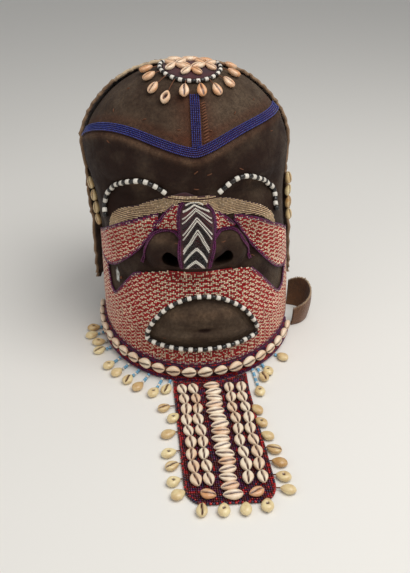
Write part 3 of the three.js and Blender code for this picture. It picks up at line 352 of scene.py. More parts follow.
# Meshes. A piece is gathered part by part: points in mm, polygons, and a finish and a tone for each
class Piece:
    """One object in the making: its points, faces, the finish of each face and two values at each point."""

    def __init__(self, name, finishes):
        """A piece starts empty, with its name and the names of its finishes."""
        self.name = name
        self.finishes = finishes
        self.points, self.faces, self.finish, self.tone, self.mark = [], [], [], [], []
        self.count = 0

    def add(self, points, faces, finish=0, tone=0.5, mark=0.0):
        """Adds a part. faces is a list of index arrays with 3 or 4 columns, turned outwards already."""
        points = np.asarray(points, float).reshape(-1, 3)
        for part in faces:
            self.faces.append(np.asarray(part) + self.count)
            self.finish.append(np.broadcast_to(np.asarray(finish), len(part)) if np.ndim(finish) == 0 else
                               np.repeat(finish, len(part) // len(finish)))
        self.points.append(points)
        self.tone.append(np.broadcast_to(tone, len(points)).astype(float))
        self.mark.append(np.broadcast_to(mark, len(points)).astype(float))
        self.count += len(points)

    def add_closed(self, points, faces, finish=0, tone=0.5, mark=0.0):
        """Adds a closed part and turns its faces outwards, by the sign of its volume."""
        points = np.asarray(points, float).reshape(-1, 3)
        centred = points - points.mean(0)
        volume = sum(np.einsum("ij,ij->", centred[f[:, 0]], np.cross(centred[f[:, k]], centred[f[:, k + 1]]))
                     for f in faces for k in range(1, f.shape[1] - 1))
        self.add(points, [f[:, ::-1] for f in faces] if volume < 0 else faces, finish, tone, mark)

    def build(self, replaces=(), extra=None):
        """Puts the gathered parts into a mesh in metres, at their place in the frame."""
        points = np.vstack(self.points) * MM + SHIFT
        mesh = bpy.data.meshes.new(self.name)
        corners = [f.shape[1] for f in self.faces for _ in range(len(f))]
        mesh.vertices.add(len(points))
        mesh.vertices.foreach_set("co", points.ravel())
        mesh.loops.add(int(sum(corners)))
        mesh.loops.foreach_set("vertex_index", np.concatenate([f.ravel() for f in self.faces]))
        mesh.polygons.add(len(corners))
        mesh.polygons.foreach_set("loop_start", np.concatenate([[0], np.cumsum(corners)[:-1]]))
        mesh.polygons.foreach_set("material_index", np.concatenate(self.finish).astype(int))
        mesh.polygons.foreach_set("use_smooth", np.ones(len(corners), bool))
        values_of = {"tone": np.concatenate(self.tone), "mark": np.concatenate(self.mark), **(extra or {})}
        for name, values in values_of.items():
            mesh.attributes.new(name, "FLOAT", "POINT").data.foreach_set("value", values)
        mesh.update(calc_edges=True)
        mesh.validate()
        for name in self.finishes:
            mesh.materials.append(finish_named(name))
        piece = bpy.data.objects.new(self.name, mesh)
        bpy.context.collection.objects.link(piece)
        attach(piece, "root")
        if replaces:
            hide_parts(*replaces)
        return piece


def wrap_faces(rows, columns):
    """Quads of a grid that closes round its columns, and fans to a first and a last pole point."""
    i, j = np.meshgrid(np.arange(rows - 1), np.arange(columns), indexing="ij")
    after = (j + 1) % columns
    here, over = i * columns, (i + 1) * columns
    quads = np.stack([here + j, here + after, over + after, over + j], -1)
    k = np.arange(columns)
    foot = rows * columns
    first = np.stack([np.full(columns, foot), (k + 1) % columns, k], -1)
    end = (rows - 1) * columns
    last = np.stack([np.full(columns, foot + 1), end + k, end + (k + 1) % columns], -1)
    return [quads.reshape(-1, 4), first, last]


def slab_faces(columns, rows):
    """Quads of an outer and an inner grid of points, and of the strip that joins their edges."""
    index = np.arange(columns * rows).reshape(columns, rows)
    outer = np.stack([index[:-1, :-1], index[1:, :-1], index[1:, 1:], index[:-1, 1:]], -1).reshape(-1, 4)
    loop = np.concatenate([index[:-1, 0], index[-1, :-1], index[:0:-1, -1], index[0, :0:-1]])
    after = np.roll(loop, -1)
    strip = np.stack([after, loop, loop + columns * rows, after + columns * rows], -1)
    return [outer, outer[:, ::-1] + columns * rows, strip]


def add_slab(piece, outer, inner, finish=0, mark=0.0):
    """Two skins, given as grids of points, closed along their edges."""
    columns, rows = outer.shape[:2]
    points = np.concatenate([outer.reshape(-1, 3), inner.reshape(-1, 3)])
    piece.add_closed(points, slab_faces(columns, rows), finish, 0.5, mark)


def turned(profile, sides):
    """A body turned about its first axis: profile is (along, radius) pairs between two poles."""
    turn = 2 * np.pi * (np.arange(sides) + 0.5) / sides
    rings = [np.stack([np.full(sides, x), r * np.cos(turn), r * np.sin(turn)], -1) for x, r in profile]
    ends = [[float(profile[k][0]), 0, 0] for k in (0, -1)]
    return np.vstack(rings + [ends]), wrap_faces(len(profile), sides)


def seed_shape():
    """A seed bead: a short barrel of five sides with rounded ends, one across."""
    points, faces = turned([(-0.28, 0.5), (0.28, 0.5)], 5)
    points[-2, 0], points[-1, 0] = -0.46, 0.46
    return points, faces, np.zeros(len(points))


def pony_shape():
    """A thick short tube bead with rounded shoulders and a dark bore at each end."""
    half = [(0.1, 0.5), (0.36, 0.49), (0.44, 0.42), (0.46, 0.3), (0.40, 0.16)]
    points, faces = turned([(-x, r) for x, r in half[::-1]] + half, 14)
    points[-2, 0], points[-1, 0] = -0.3, 0.3
    return points, faces, np.zeros(len(points))


def cowrie_shape(rows=22, columns=26, hole=0.0):
    """A cowrie, slit side up: its outline a lens with a full belly, its back a dome, its slit side two lips.

    The lips meet in a groove that curves a little, with teeth across its edges. hole is the size of a broken
    hole in the back. mark is 1 in the groove and in the hole.
    """
    t = -np.cos(np.pi * (np.arange(rows) + 0.5) / rows)[:, None]
    turn = 2 * np.pi * np.arange(columns)[None] / columns
    half = 0.5 * (1 - np.abs(t) ** 1.9) ** 0.66 * (1 + 0.2 * t)
    side = np.cos(turn) * np.abs(np.cos(turn)) ** -0.1
    y = half * side
    top = np.sin(turn) > 0
    groove_line = 0.05 * np.sin(2.4 * t)
    away = (y - groove_line) / 0.5
    teeth = 0.035 * np.cos(26 * t) * bell(np.abs(away) - 0.22, 0.12)
    lip = 0.44 * np.abs(np.sin(turn)) ** 0.75 * (half / 0.5) ** 0.35
    groove = 0.4 * bell(away, 0.15) * bell(t, 0.93, 8)
    z_top = lip - groove + teeth * (half / 0.5)
    z_back = -0.56 * np.abs(np.sin(turn)) ** 0.9 * (half / 0.5) ** 0.8
    broken = bell(np.hypot(t, away), hole, 4) if hole else 0.0
    z_back = z_back * (1 - 3 * hole * broken)
    z = np.where(top, z_top, z_back)
    grid = np.stack([np.broadcast_to(0.5 * t, z.shape), y, z], -1)
    mark = np.where(top, bell(away, 0.21) * bell(t, 0.95, 8), broken)
    points = np.vstack([grid.reshape(-1, 3), [[-0.5, 0, -0.02], [0.5, 0, -0.02]]])
    return points, [f[:, ::-1] for f in wrap_faces(rows, columns)], np.append(mark.ravel(), [0.3, 0.3])


SEED, PONY, COWRIE = seed_shape(), pony_shape(), cowrie_shape()
HOLLOW, HOLED = cowrie_shape(hole=0.5), cowrie_shape(hole=0.25)


def scatter(piece, shape, centre, along, up, size, finish=0, tone=None):
    """Copies of a shape: each at a centre, its length along one direction and its top up, at a size in mm."""
    points, faces, mark = shape
    centre = np.atleast_2d(centre)
    count = len(centre)
    along = unit(np.broadcast_to(along, (count, 3)))
    across = unit(np.cross(np.broadcast_to(up, (count, 3)), along))
    up = np.cross(along, across)
    size = np.broadcast_to(size, (count, 3))
    spot = centre[:, None]
    for k, axis in enumerate((along, across, up)):
        spot = spot + points[None, :, k:k + 1] * size[:, None, k:k + 1] * axis[:, None]
    shift = (np.arange(count) * len(points))[:, None, None]
    tone = rng.random(count) if tone is None else np.broadcast_to(tone, count)
    finish = np.broadcast_to(finish, count)
    piece.add(spot, [(f[None] + shift).reshape(-1, f.shape[1]) for f in faces], finish,
              np.repeat(tone, len(points)), np.tile(mark, count))


def add_tube(piece, path, radius, finish=0):
    """A tube of six sides along a path, closed at both ends."""
    sides = 6
    path = np.asarray(path, float)
    along = unit(np.gradient(path, axis=0))
    across = unit(np.cross(np.broadcast_to((0.13, 0.21, 0.97), path.shape), along))
    over = np.cross(along, across)
    turn = 2 * np.pi * np.arange(sides) / sides
    rings = path[:, None] + radius * (np.cos(turn)[None, :, None] * across[:, None]
                                      + np.sin(turn)[None, :, None] * over[:, None])
    points = np.vstack([rings.reshape(-1, 3), path[:1], path[-1:]])
    piece.add_closed(points, wrap_faces(len(path), sides), finish)


def resample(points, ups, step):
    """Places at an even step along a line: centre, direction, up and the pitch that fits the whole length."""
    lengths = np.concatenate([[0], np.cumsum(np.linalg.norm(np.diff(points, axis=0), axis=1))])
    count = max(int(round(lengths[-1] / step)), 1)
    pitch = lengths[-1] / count
    s = (np.arange(count) + 0.5) * pitch

    def at(values, where):
        """The values at a distance along the line."""
        return np.stack([np.interp(where, lengths, values[:, k]) for k in range(3)], -1)

    along = at(points, s + 0.3 * pitch) - at(points, s - 0.3 * pitch)
    return at(points, s), unit(along), unit(at(ups, s)), pitch


def bead_line(piece, points, ups, step, wide, thick, finish):
    """Seed beads end to end along a line. finish is one finish, or gives as many as there are beads."""
    centre, along, up, pitch = resample(points, ups, step)
    kinds = finish(len(centre)) if callable(finish) else finish
    scatter(piece, SEED, centre, along, up, (pitch, wide, thick), kinds)


def face_line(places, lift, step):
    """Even places along a smooth line over the face."""
    spots = curve(places)(np.linspace(0, 1, 400))
    return resample(face_point(spots[:, 0], spots[:, 1], lift), face_normal(spots[:, 0], spots[:, 1]), step)


def outline_of(lower, upper):
    """One closed outline: along the lower edge and back along the upper one."""
    t = np.linspace(0, 1, 60)
    return np.concatenate([curve(lower)(t), curve(upper)(t)[::-1]])


def inside(outline, angle, height):
    """Even-odd rule: a place is inside if a line from it crosses the outline an odd number of times."""
    x0, y0 = outline.T[:, :, None]
    x1, y1 = np.roll(outline, -1, axis=0).T[:, :, None]
    rise = np.where(y1 == y0, 1e-9, y1 - y0)
    crosses = ((y0 > height) != (y1 > height)) & (angle < (x1 - x0) * (height - y0) / rise + x0)
    return crosses.sum(0) % 2 == 1


def level_rows(outline, pitch, row, lift, heights=None):
    """Places for beads in level rows inside an outline: angle, height and distance from the middle line."""
    if heights is None:
        heights = np.arange(outline[:, 1].min() + row / 2, outline[:, 1].max(), row)
    angles = np.linspace(outline[:, 0].min() - 1, outline[:, 0].max() + 1, 500)
    grid = face_point(angles[None], heights[:, None], lift)
    steps = np.linalg.norm(np.diff(grid, axis=1), axis=2)
    run = np.concatenate([np.zeros((len(heights), 1)), np.cumsum(steps, 1)], 1)
    found = []
    for height, length in zip(heights, run):
        length = length - np.interp(2.0, angles, length)
        s = np.arange(np.ceil(length[0] / pitch), np.floor(length[-1] / pitch)) * pitch
        found.append(np.stack([np.interp(s, length, angles), np.full(len(s), height), s], -1))
    found = np.vstack(found)
    return found[inside(outline, found[:, 0], found[:, 1])]


def sew_rows(piece, found, row, lift, thick, finish, tall=None):
    """Sews a bead at each place, as tall as its row on the carved surface unless its height is given."""
    angle, height = found[:, 0], found[:, 1]
    centre = face_point(angle, height, lift)
    around = face_point(angle + 0.4, height, lift) - face_point(angle - 0.4, height, lift)
    climb = face_point(angle, height + row / 2, lift) - face_point(angle, height - row / 2, lift)
    up = unit(np.cross(around, climb))
    height_of_row = np.linalg.norm(climb, axis=1) * 0.97 if tall is None else np.full(len(angle), tall)
    size = np.stack([np.full(len(angle), thick), height_of_row, np.full(len(angle), thick)], -1)
    scatter(piece, SEED, centre, around, up, size, finish)


def cloth_field(piece, lower, upper, columns, rows):
    """The cloth under a beadwork field, spanned evenly between its lower and upper edge."""
    u = np.linspace(0, 1, columns)
    v = np.linspace(0, 1, rows)[None, :, None]
    angle, height = np.moveaxis(lower(u)[:, None] * (1 - v) + upper(u)[:, None] * v, -1, 0)
    add_slab(piece, face_point(angle, height, CLOTH_FRONT), face_point(angle, height, CLOTH_BACK))


def edging(piece, places, lines=(-1.1, 1.1)):
    """Lines of purple beads side by side along an edge."""
    spots = curve(places)(np.linspace(0, 1, 400))
    middle = face_point(spots[:, 0], spots[:, 1], LINE_LIFT)
    up = face_normal(spots[:, 0], spots[:, 1])
    across = unit(np.cross(up, np.gradient(middle, axis=0)))
    for offset in lines:
        bead_line(piece, middle + across * offset, up, 2.0, 2.1, 2.0, PURPLE)


ZIGZAG_FINISHES, PURPLE = ["dark_cloth", "bead_red", "bead_cream", "bead_purple"], 3


def zigzag(s, height, sizes, loose=0.0):
    """1 for a cream bead and 0 for a red one: level stripes that go up and down in a zigzag.

    The stripes wander a little, and where loose is near 1 the cream beads are strewn among the red ones.
    """
    wide, tall = sizes.zigzag_width / MM, sizes.zigzag_height / MM
    wave = np.abs((s / wide) % 1 - 0.5) * 2
    drift = 0.06 * ripple(s / 17, height / 11, 2)
    striped = (height / tall + 0.6 * wave + drift) % 1 < 0.46
    strewn = rng.random(len(s)) < 0.34
    return np.where(rng.random(len(s)) < np.maximum(loose, 0.03), strewn, striped).astype(int)


# Finishes
def add_node(tree, kind, inputs=None, **settings):
    """A node with its settings, and its inputs set to values or linked to sockets."""
    node = tree.nodes.new(kind)
    for name, value in settings.items():
        setattr(node, name, value)
    for name, value in (inputs or {}).items():
        if isinstance(value, bpy.types.NodeSocket):
            tree.links.new(value, node.inputs[name])
        else:
            node.inputs[name].default_value = value
    return node


def mix(tree, factor, a, b):
    """One colour over another by a factor."""
    return add_node(tree, "ShaderNodeMix", {0: factor, 6: a, 7: b}, data_type="RGBA").outputs[2]


def math(tree, operation, a, b):
    """Two values added or multiplied."""
    return add_node(tree, "ShaderNodeMath", {0: a, 1: b}, operation=operation).outputs[0]


def spread(tree, value, low, high, to_low=0.0, to_high=1.0):
    """A value stretched from one range over another, and held at its ends."""
    node = add_node(tree, "ShaderNodeMapRange", {"Value": value, "From Min": low, "From Max": high,
                                                 "To Min": to_low, "To Max": to_high})
    return node.outputs["Result"]


def attribute(tree, name):
    """A value stored at the points of the mesh."""
    return add_node(tree, "ShaderNodeAttribute", attribute_name=name).outputs["Fac"]


def new_group(name, inputs, outputs):
    """A shader group with number sockets: its tree, what goes in, what comes out, and Object coordinates."""
    group = bpy.data.node_groups.new(name, "ShaderNodeTree")
    for socket, value in inputs.items():
        made = group.interface.new_socket(socket, in_out="INPUT", socket_type="NodeSocketFloat")
        made.default_value = value
    for socket in outputs:
        group.interface.new_socket(socket, in_out="OUTPUT", socket_type="NodeSocketFloat")
    place = add_node(group, "ShaderNodeTexCoord").outputs["Object"]
    return group, group.nodes.new("NodeGroupInput").outputs, group.nodes.new("NodeGroupOutput").inputs, place


def uneven_surface():
    """Fine and broad unevenness, shared by hide, wood, cloth, shell and glass. Scales are per metre."""
    group, given, results, place = new_group("uneven_surface", {"Fine Scale": 600, "Broad Scale": 30},
                                             ("Fine", "Broad"))
    for name, detail, rough in (("Fine", 3.0, 0.6), ("Broad", 5.0, 0.55)):
        noise = add_node(group, "ShaderNodeTexNoise", {"Vector": place, "Scale": given[name + " Scale"],
                                                       "Detail": detail, "Roughness": rough})
        group.links.new(noise.outputs[0], results[name])
    return group


def hide_creases():
    """Dents that run together like old hide: a network of thin lines and small pores."""
    group, given, results, place = new_group("hide_creases", {"Scale": 90}, ("Creases",))
    bend = add_node(group, "ShaderNodeTexNoise", {"Vector": place, "Scale": 25.0, "Detail": 3.0})
    bent = add_node(group, "ShaderNodeVectorMath", {0: place, 1: bend.outputs["Color"]}, operation="ADD")
    lines = add_node(group, "ShaderNodeTexVoronoi", {"Vector": bent.outputs[0], "Scale": given["Scale"]},
                     feature="DISTANCE_TO_EDGE").outputs["Distance"]
    group.links.new(spread(group, lines, 0.0, 0.08), results["Creases"])
    return group


def use_group(tree, make, **inputs):
    """A group placed in a material with its own values. It is built the first time it is used."""
    node = tree.nodes.new("ShaderNodeGroup")
    node.node_tree = bpy.data.node_groups.get(make.__name__) or make()
    for name, value in inputs.items():
        node.inputs[name.replace("_", " ")].default_value = value
    return node.outputs


def new_material(name):
    """An empty material with one shader: its tree and the shader."""
    material = bpy.data.materials.new(name)
    material.use_nodes = True
    tree = material.node_tree
    tree.nodes.clear()
    shader = add_node(tree, "ShaderNodeBsdfPrincipled")
    output = add_node(tree, "ShaderNodeOutputMaterial")
    tree.links.new(shader.outputs[0], output.inputs[0])
    return tree, shader


def start_finish(name, fine, broad):
    """A material to be painted: its tree, its shader, the mask's colours, and unevenness at two scales."""
    tree, shader = new_material(name)
    uneven = use_group(tree, uneven_surface, Fine_Scale=fine, Broad_Scale=broad)
    return tree, shader, bpy.context.scene.mask_colours, uneven["Fine"], uneven["Broad"]


def end_finish(tree, shader, colour, rough, bump=None, **plain):
    """The colour, the roughness as a value or a socket, the relief, and plain values on the shader."""
    tree.links.new(colour, shader.inputs["Base Color"])
    if isinstance(rough, float):
        shader.inputs["Roughness"].default_value = rough
    else:
        tree.links.new(rough, shader.inputs["Roughness"])
    for name, value in plain.items():
        shader.inputs[name.replace("_", " ")].default_value = value
    if bump:
        dents = add_node(tree, "ShaderNodeBump", dict(zip(("Height", "Strength", "Distance"), bump)))
        tree.links.new(dents.outputs[0], shader.inputs["Normal"])


def tone_of(value, light=1.0):
    """A colour made lighter or darker."""
    return (value[0] * light, value[1] * light, value[2] * light, 1.0)


def aged_hide(name):
    """Old dark hide: grey brown where it has dried, red brown along its seams and pale where it is rubbed."""
    tree, shader, own, fine, broad = start_finish(name, 300.0, 40.0)
    creases = use_group(tree, hide_creases, Scale=170.0)["Creases"]
    # shade carries the dried grey and also painted light: lighter on the right, and painted shade under the
    # brow, the nose's wings and in the lips' slit.
    shade = math(tree, "ADD", attribute(tree, "shade"), spread(tree, broad, 0.25, 0.75, -0.42, 0.42))
    # The rubbed pale also carries painted highlights on the lips, the nose's wings and over the eyes.
    rubbed_and_lit = math(tree, "MULTIPLY", attribute(tree, "worn"), spread(tree, broad, 0.3, 0.6))
    colour = mix(tree, shade, tone_of(own.hide_dark), tone_of(own.hide_grey))
    colour = mix(tree, attribute(tree, "warm"), colour, tone_of(own.hide_warm))
    colour = mix(tree, rubbed_and_lit, colour, tone_of(own.hide_worn))
    colour = mix(tree, spread(tree, fine, 0.38, 0.62, 0.4, 0.0), colour, tone_of(own.hide_dark, 0.5))
    colour = mix(tree, spread(tree, creases, 0.0, 1.0, 0.35, 0.0), colour, tone_of(own.hide_dark, 0.6))
    end_finish(tree, shader, colour, spread(tree, broad, 0.3, 0.7, 0.75, 0.55),
               (math(tree, "ADD", fine, creases), 0.55, 0.0014), Specular_IOR_Level=0.2)


def bare_wood(name):
    """Bare wood inside the helmet, with the dark uneven tone of an adzed hollow."""
    tree, shader, own, fine, broad = start_finish(name, 260.0, 22.0)
    colour = mix(tree, spread(tree, broad, 0.3, 0.7), tone_of(own.wood, 0.55), tone_of(own.wood))
    end_finish(tree, shader, colour, 0.8, (fine, 0.5, 0.001))


def nap_hide(name):
    """Brown hide with a short fuzzy nap. Its cut edge, marked on the mesh, is pale."""
    tree, shader, own, fine, broad = start_finish(name, 420.0, 45.0)
    edge = math(tree, "MULTIPLY", attribute(tree, "mark"), spread(tree, broad, 0.3, 0.5, 0.35, 1.0))
    colour = mix(tree, spread(tree, broad, 0.3, 0.7), tone_of(own.nap, 0.45), tone_of(own.nap))
    colour = mix(tree, spread(tree, fine, 0.35, 0.75, 0.0, 0.5), colour, tone_of(own.nap, 1.7))
    colour = mix(tree, edge, colour, tone_of(own.cut_edge))
    end_finish(tree, shader, colour, 0.9, (fine, 0.8, 0.0015), Sheen_Weight=0.25)


def bead_glass(name):
    """Opaque glass in one colour that differs a little from bead to bead, with grime between the beads."""
    second, rough = BEADS[name]
    tree, shader, own, fine, broad = start_finish(name, 700.0, 60.0)
    glass = getattr(own, name)
    colour = mix(tree, attribute(tree, "tone"), tone_of(glass), tone_of(glass, second))
    colour = mix(tree, spread(tree, broad, 0.45, 0.8, 0.0, 0.25), colour, tone_of(own.grime))
    end_finish(tree, shader, colour, spread(tree, fine, 0.3, 0.7, rough - 0.08, rough + 0.12))


def dark_cloth(name):
    """Dark red cloth in plain weave, purple in places."""
    tree, shader, own, _, broad = start_finish(name, 800.0, 70.0)
    place = add_node(tree, "ShaderNodeTexCoord").outputs["Object"]
    weave = add_node(tree, "ShaderNodeTexWave", {"Vector": place, "Scale": 260.0, "Distortion": 2.0,
                                                 "Detail": 1.0}).outputs["Fac"]
    colour = mix(tree, spread(tree, broad, 0.35, 0.65), tone_of(own.cloth_red), tone_of(own.cloth_purple))
    colour = mix(tree, spread(tree, weave, 0.2, 0.8, 0.4, 0.0), colour, tone_of(own.grime, 0.5))
    end_finish(tree, shader, colour, 0.85, (weave, 0.4, 0.0004), Sheen_Weight=0.15)


def cowrie_shell(name):
    """Cowrie shell: pale and glossy, deeper in tone from shell to shell, and brown in the slit."""
    tree, shader, own, fine, broad = start_finish(name, 500.0, 130.0)
    pale, deep = (getattr(own, colour) for colour in SHELLS[name])
    tint = math(tree, "ADD", attribute(tree, "tone"), spread(tree, broad, 0.3, 0.7, -0.3, 0.3))
    colour = mix(tree, tint, tone_of(pale), tone_of(deep))
    colour = mix(tree, spread(tree, attribute(tree, "mark"), 0.15, 0.75), colour, tone_of(own.slit))
    end_finish(tree, shader, colour, spread(tree, fine, 0.3, 0.7, 0.25, 0.42), (fine, 0.15, 0.0003),
               Coat_Weight=0.25, Coat_Roughness=0.2)


def thread(name):
    """Brown twisted thread."""
    tree, shader, own, fine, broad = start_finish(name, 1500.0, 200.0)
    end_finish(tree, shader, mix(tree, broad, tone_of(own.thread, 0.5), tone_of(own.thread)), 0.85,
               (fine, 0.5, 0.0003))


def chalk(name):
    """A dab of chalky white on the hide."""
    tree, shader, own, _, broad = start_finish(name, 900.0, 250.0)
    end_finish(tree, shader, mix(tree, spread(tree, broad, 0.35, 0.65), CHALK_PALE, CHALK_DULL), 0.95)


# How light the other end of each bead's range of colour is, and how rough its glass
BEADS = {
    "bead_red": (1.5, 0.2), "bead_brown": (0.5, 0.2), "bead_cream": (0.75, 0.2), "bead_tan": (0.6, 0.2),
    "bead_purple": (0.5, 0.2), "bead_blue": (1.6, 0.2), "bead_dark_blue": (1.7, 0.2),
    "bead_light_blue": (1.2, 0.2), "bead_white": (0.82, 0.25), "bead_black": (2.2, 0.25),
}
SHELLS = {"cowrie_cream": ("shell_pale", "shell_orange"), "cowrie_yellow": ("shell_yellow", "shell_brown")}
CHALK_PALE, CHALK_DULL = (0.62, 0.62, 0.58, 1), (0.30, 0.27, 0.23, 1)
FINISHES = {make.__name__: make for make in (aged_hide, bare_wood, nap_hide, dark_cloth, thread, chalk)}
FINISHES.update({name: bead_glass for name in BEADS})
FINISHES.update({name: cowrie_shell for name in SHELLS})


def finish_named(name):
    """The finish of that name, made the first time that a piece asks for it."""
    if name not in bpy.data.materials:
        FINISHES[name](name)
    return bpy.data.materials[name]


def srgb(red, green, blue):
    """A colour in 0 to 255 as the linear light that a shader takes."""
    share = np.array([red, green, blue]) / 255
    return tuple(float(c) for c in np.where(share < 0.04045, share / 12.92, ((share + 0.055) / 1.055) ** 2.4))


def colour_property(name, description, red, green, blue):
    """A colour given in 0 to 255."""
    return FloatVectorProperty(name=name, description=description, default=srgb(red, green, blue),
                               subtype="COLOR", min=0, max=1)


def length_property(name, description, millimetres):
    """A length given in millimetres and kept in metres."""
    return FloatProperty(name=name, description=description, default=millimetres * MM, min=0.0001,
                         subtype="DISTANCE", unit="LENGTH", precision=5)


class MaskSizes(bpy.types.PropertyGroup):
    """Sizes of the beads and of their pattern"""

    seed_bead: length_property("Seed bead", "Length of a bead of the face's beadwork", 1.9)
    seed_row: length_property("Row step", "Height of a row of beads", 1.7)
    band_bead: length_property("Band bead", "Length of a bead of the blue bands", 1.9)
    bridge_bead: length_property("Bridge bead", "Length of a bead of the band under the eyes", 1.7)
    pony_bead: length_property("Large bead", "Length of a bead round the eyes and the mouth", 5.6)
    crown_bead: length_property("Crown bead", "Length of a bead of the crown's ring", 4.8)
    zigzag_width: length_property("Zigzag width", "Length of one zigzag of the stripes", 9.4)
    zigzag_height: length_property("Zigzag height", "Height of one red and one cream stripe", 5.1)
    hide_rag: length_property("Ragged edge", "How uneven the cut edges of the hide are", 2.4)


class MaskColours(bpy.types.PropertyGroup):
    """Colours of the hide, the beads, the cloth and the shells"""

    # Also the colour of painted shade under the brow, the nose's wings and in the lips' slit.
    hide_dark: colour_property("Hide, dark", "Darkest tone of the hide", 44, 24, 14)
    # The right side is moved towards this grey as painted light.
    hide_grey: colour_property("Hide, grey", "Dried grey brown tone of the hide", 98, 80, 62)
    hide_warm: colour_property("Hide, warm", "Red brown along the seams", 92, 52, 32)
    # Also the colour of painted highlights on the lips, the nose's wings and over the eyes.
    hide_worn: colour_property("Hide, worn", "Pale brown where the hide is rubbed", 132, 102, 76)
    wood: colour_property("Wood", "Bare wood of the hollow", 96, 70, 46)
    nap: colour_property("Nap", "Brown nap of the cap and the neck flap", 112, 72, 40)
    cut_edge: colour_property("Cut edge", "Pale cut edge of the cap", 205, 182, 148)
    bead_red: colour_property("Red bead", "Red of the beadwork", 158, 24, 26)
    bead_brown: colour_property("Dark red bead", "Dark red of the beard panel", 98, 28, 30)
    bead_cream: colour_property("Cream bead", "Cream of the beadwork", 255, 226, 192)
    bead_tan: colour_property("Tan bead", "Tan of the band under the eyes", 226, 194, 152)
    bead_purple: colour_property("Purple bead", "Purple of the edging", 104, 30, 84)
    bead_blue: colour_property("Blue bead", "Deep blue of the V band", 34, 44, 110)
    bead_dark_blue: colour_property("Dark blue bead", "Dark blue of the panel's border", 34, 28, 54)
    bead_light_blue: colour_property("Light blue bead", "Light blue of the threads", 120, 175, 205)
    bead_white: colour_property("White bead", "White of the large beads", 238, 230, 216)
    bead_black: colour_property("Black bead", "Black of the large beads", 22, 20, 18)
    grime: colour_property("Grime", "Brown dirt between the beads", 74, 48, 34)
    cloth_red: colour_property("Cloth, red", "Dark red of the cloth", 78, 22, 28)
    cloth_purple: colour_property("Cloth, purple", "Purple of the cloth", 54, 24, 36)
    shell_pale: colour_property("Shell, pale", "Palest cream of the sewn shells", 250, 232, 204)
    shell_orange: colour_property("Shell, orange", "Orange tone of the sewn shells", 216, 156, 106)
    shell_yellow: colour_property("Shell, yellow", "Yellow of the hanging shells", 238, 218, 166)
    shell_brown: colour_property("Shell, brown", "Brown tone of the hanging shells", 186, 136, 76)
    slit: colour_property("Shell slit", "Brown inside the slit of a shell", 70, 24, 14)
    thread: colour_property("Thread", "Brown thread of the stitches and knots", 120, 72, 44)
    floor: colour_property("Table", "Pale table under the mask", 236, 232, 224)


# The head
def head_values(angle, height):
    """Where the hide is grey, warm or rubbed: bands beside the seams and the high places of the carving."""
    band = band_height(angle)
    above = smooth(-4, 4, height - band)
    # The hide is made lighter towards the right, where the key light falls: painted light.
    right = smooth(-30, 45, angle)
    shade = above * (0.5 + 0.4 * right) + (1 - above) * (0.04 + 0.22 * right)
    # Painted shadow: darker under the brow, above the eyes.
    shade = shade - 0.3 * bell(height - 232, 16) * bell(angle, 60, 4)
    lower = fall(182, 168, height)
    shade = shade * (1 - lower) + lower * (0.3 + 0.55 * fall(115, 90, height) - 0.15 * fall(165, 140, height))
    across = np.abs(2 * (angle - nose_line(height)))
    # Painted shade: darker under the nose's wings, round the nostrils.
    shade = shade - 0.8 * bell(across - NOSTRIL_OUT, 16) * bell(height - NOSTRIL_HEIGHT + 2, 13)
    # Painted shade: darker in the slit between the lips.
    shade = shade - 1.2 * bell(angle - MOUTH_MIDDLE - 0.7, 3.2, 4) * bell(height - 70, 1.7)
    seam = bell(2 * (angle - 4.5), 24) * smooth(255, 275, height) * fall(345, 325, height)
    warm = 0.85 * seam + 0.5 * bell(height - band - 11, 7) * above
    warm = warm + 0.3 * bell(height - band + 9, 5) * (1 - above)
    # A real rubbed ridge under the V band.
    worn = 0.5 * bell(height - band + 10.5, 3.5) * (0.4 + 0.6 * bell(angle + 30, 50, 4))
    lip = 1 - ((angle - MOUTH_MIDDLE) / MOUTH_SPREAD) ** 2
    # Painted highlights, in the same pale as the rubbed hide: the upper lip's crest, the tops of the nose's
    # wings and a line over each eye.
    worn = worn + 0.55 * bell(height - 80 - 7 * lip, 5) * bell(angle - MOUTH_MIDDLE, 20, 4)
    worn = worn + 0.3 * bell(height - 170, 7) * bell(np.abs(angle) - 17, 8)
    worn = worn + 0.3 * bell(height - 222, 4) * bell(np.abs(angle) - 36, 9)
    return {"shade": np.clip(shade, 0, 1), "warm": np.clip(warm, 0, 1), "worn": np.clip(worn, 0, 1)}


def hide_folds(angle, height):
    """Fine wear: slow waves all over, folds and grain across the lips and the small slit between them."""
    waves = 0.2 * ripple(np.radians(angle) * 7, height / 23, 3) * smooth(0, 12, height)
    t = (angle - MOUTH_MIDDLE) / MOUTH_SPREAD
    lip = np.maximum(1 - t * t, 0)
    on_lips = bell(t, 0.78, 6) * bell(height - 76, 27, 6)
    folds = 1.8 * bell(height - 82 - 8 * lip, 6.5) - 1.8 * bell(height - 68 - 8 * lip, 4)
    folds = folds + 1.2 * bell(height - 59 - 6 * lip, 5)
    grain = 0.3 * ripple(t * 3 + 0 * height, height / 1.7 + 0 * t, 4)
    slit = 2.4 * bell(angle - MOUTH_MIDDLE - 0.7, 3.2, 4) * bell(height - 70, 1.7)
    return waves + on_lips * (folds + grain) - slit


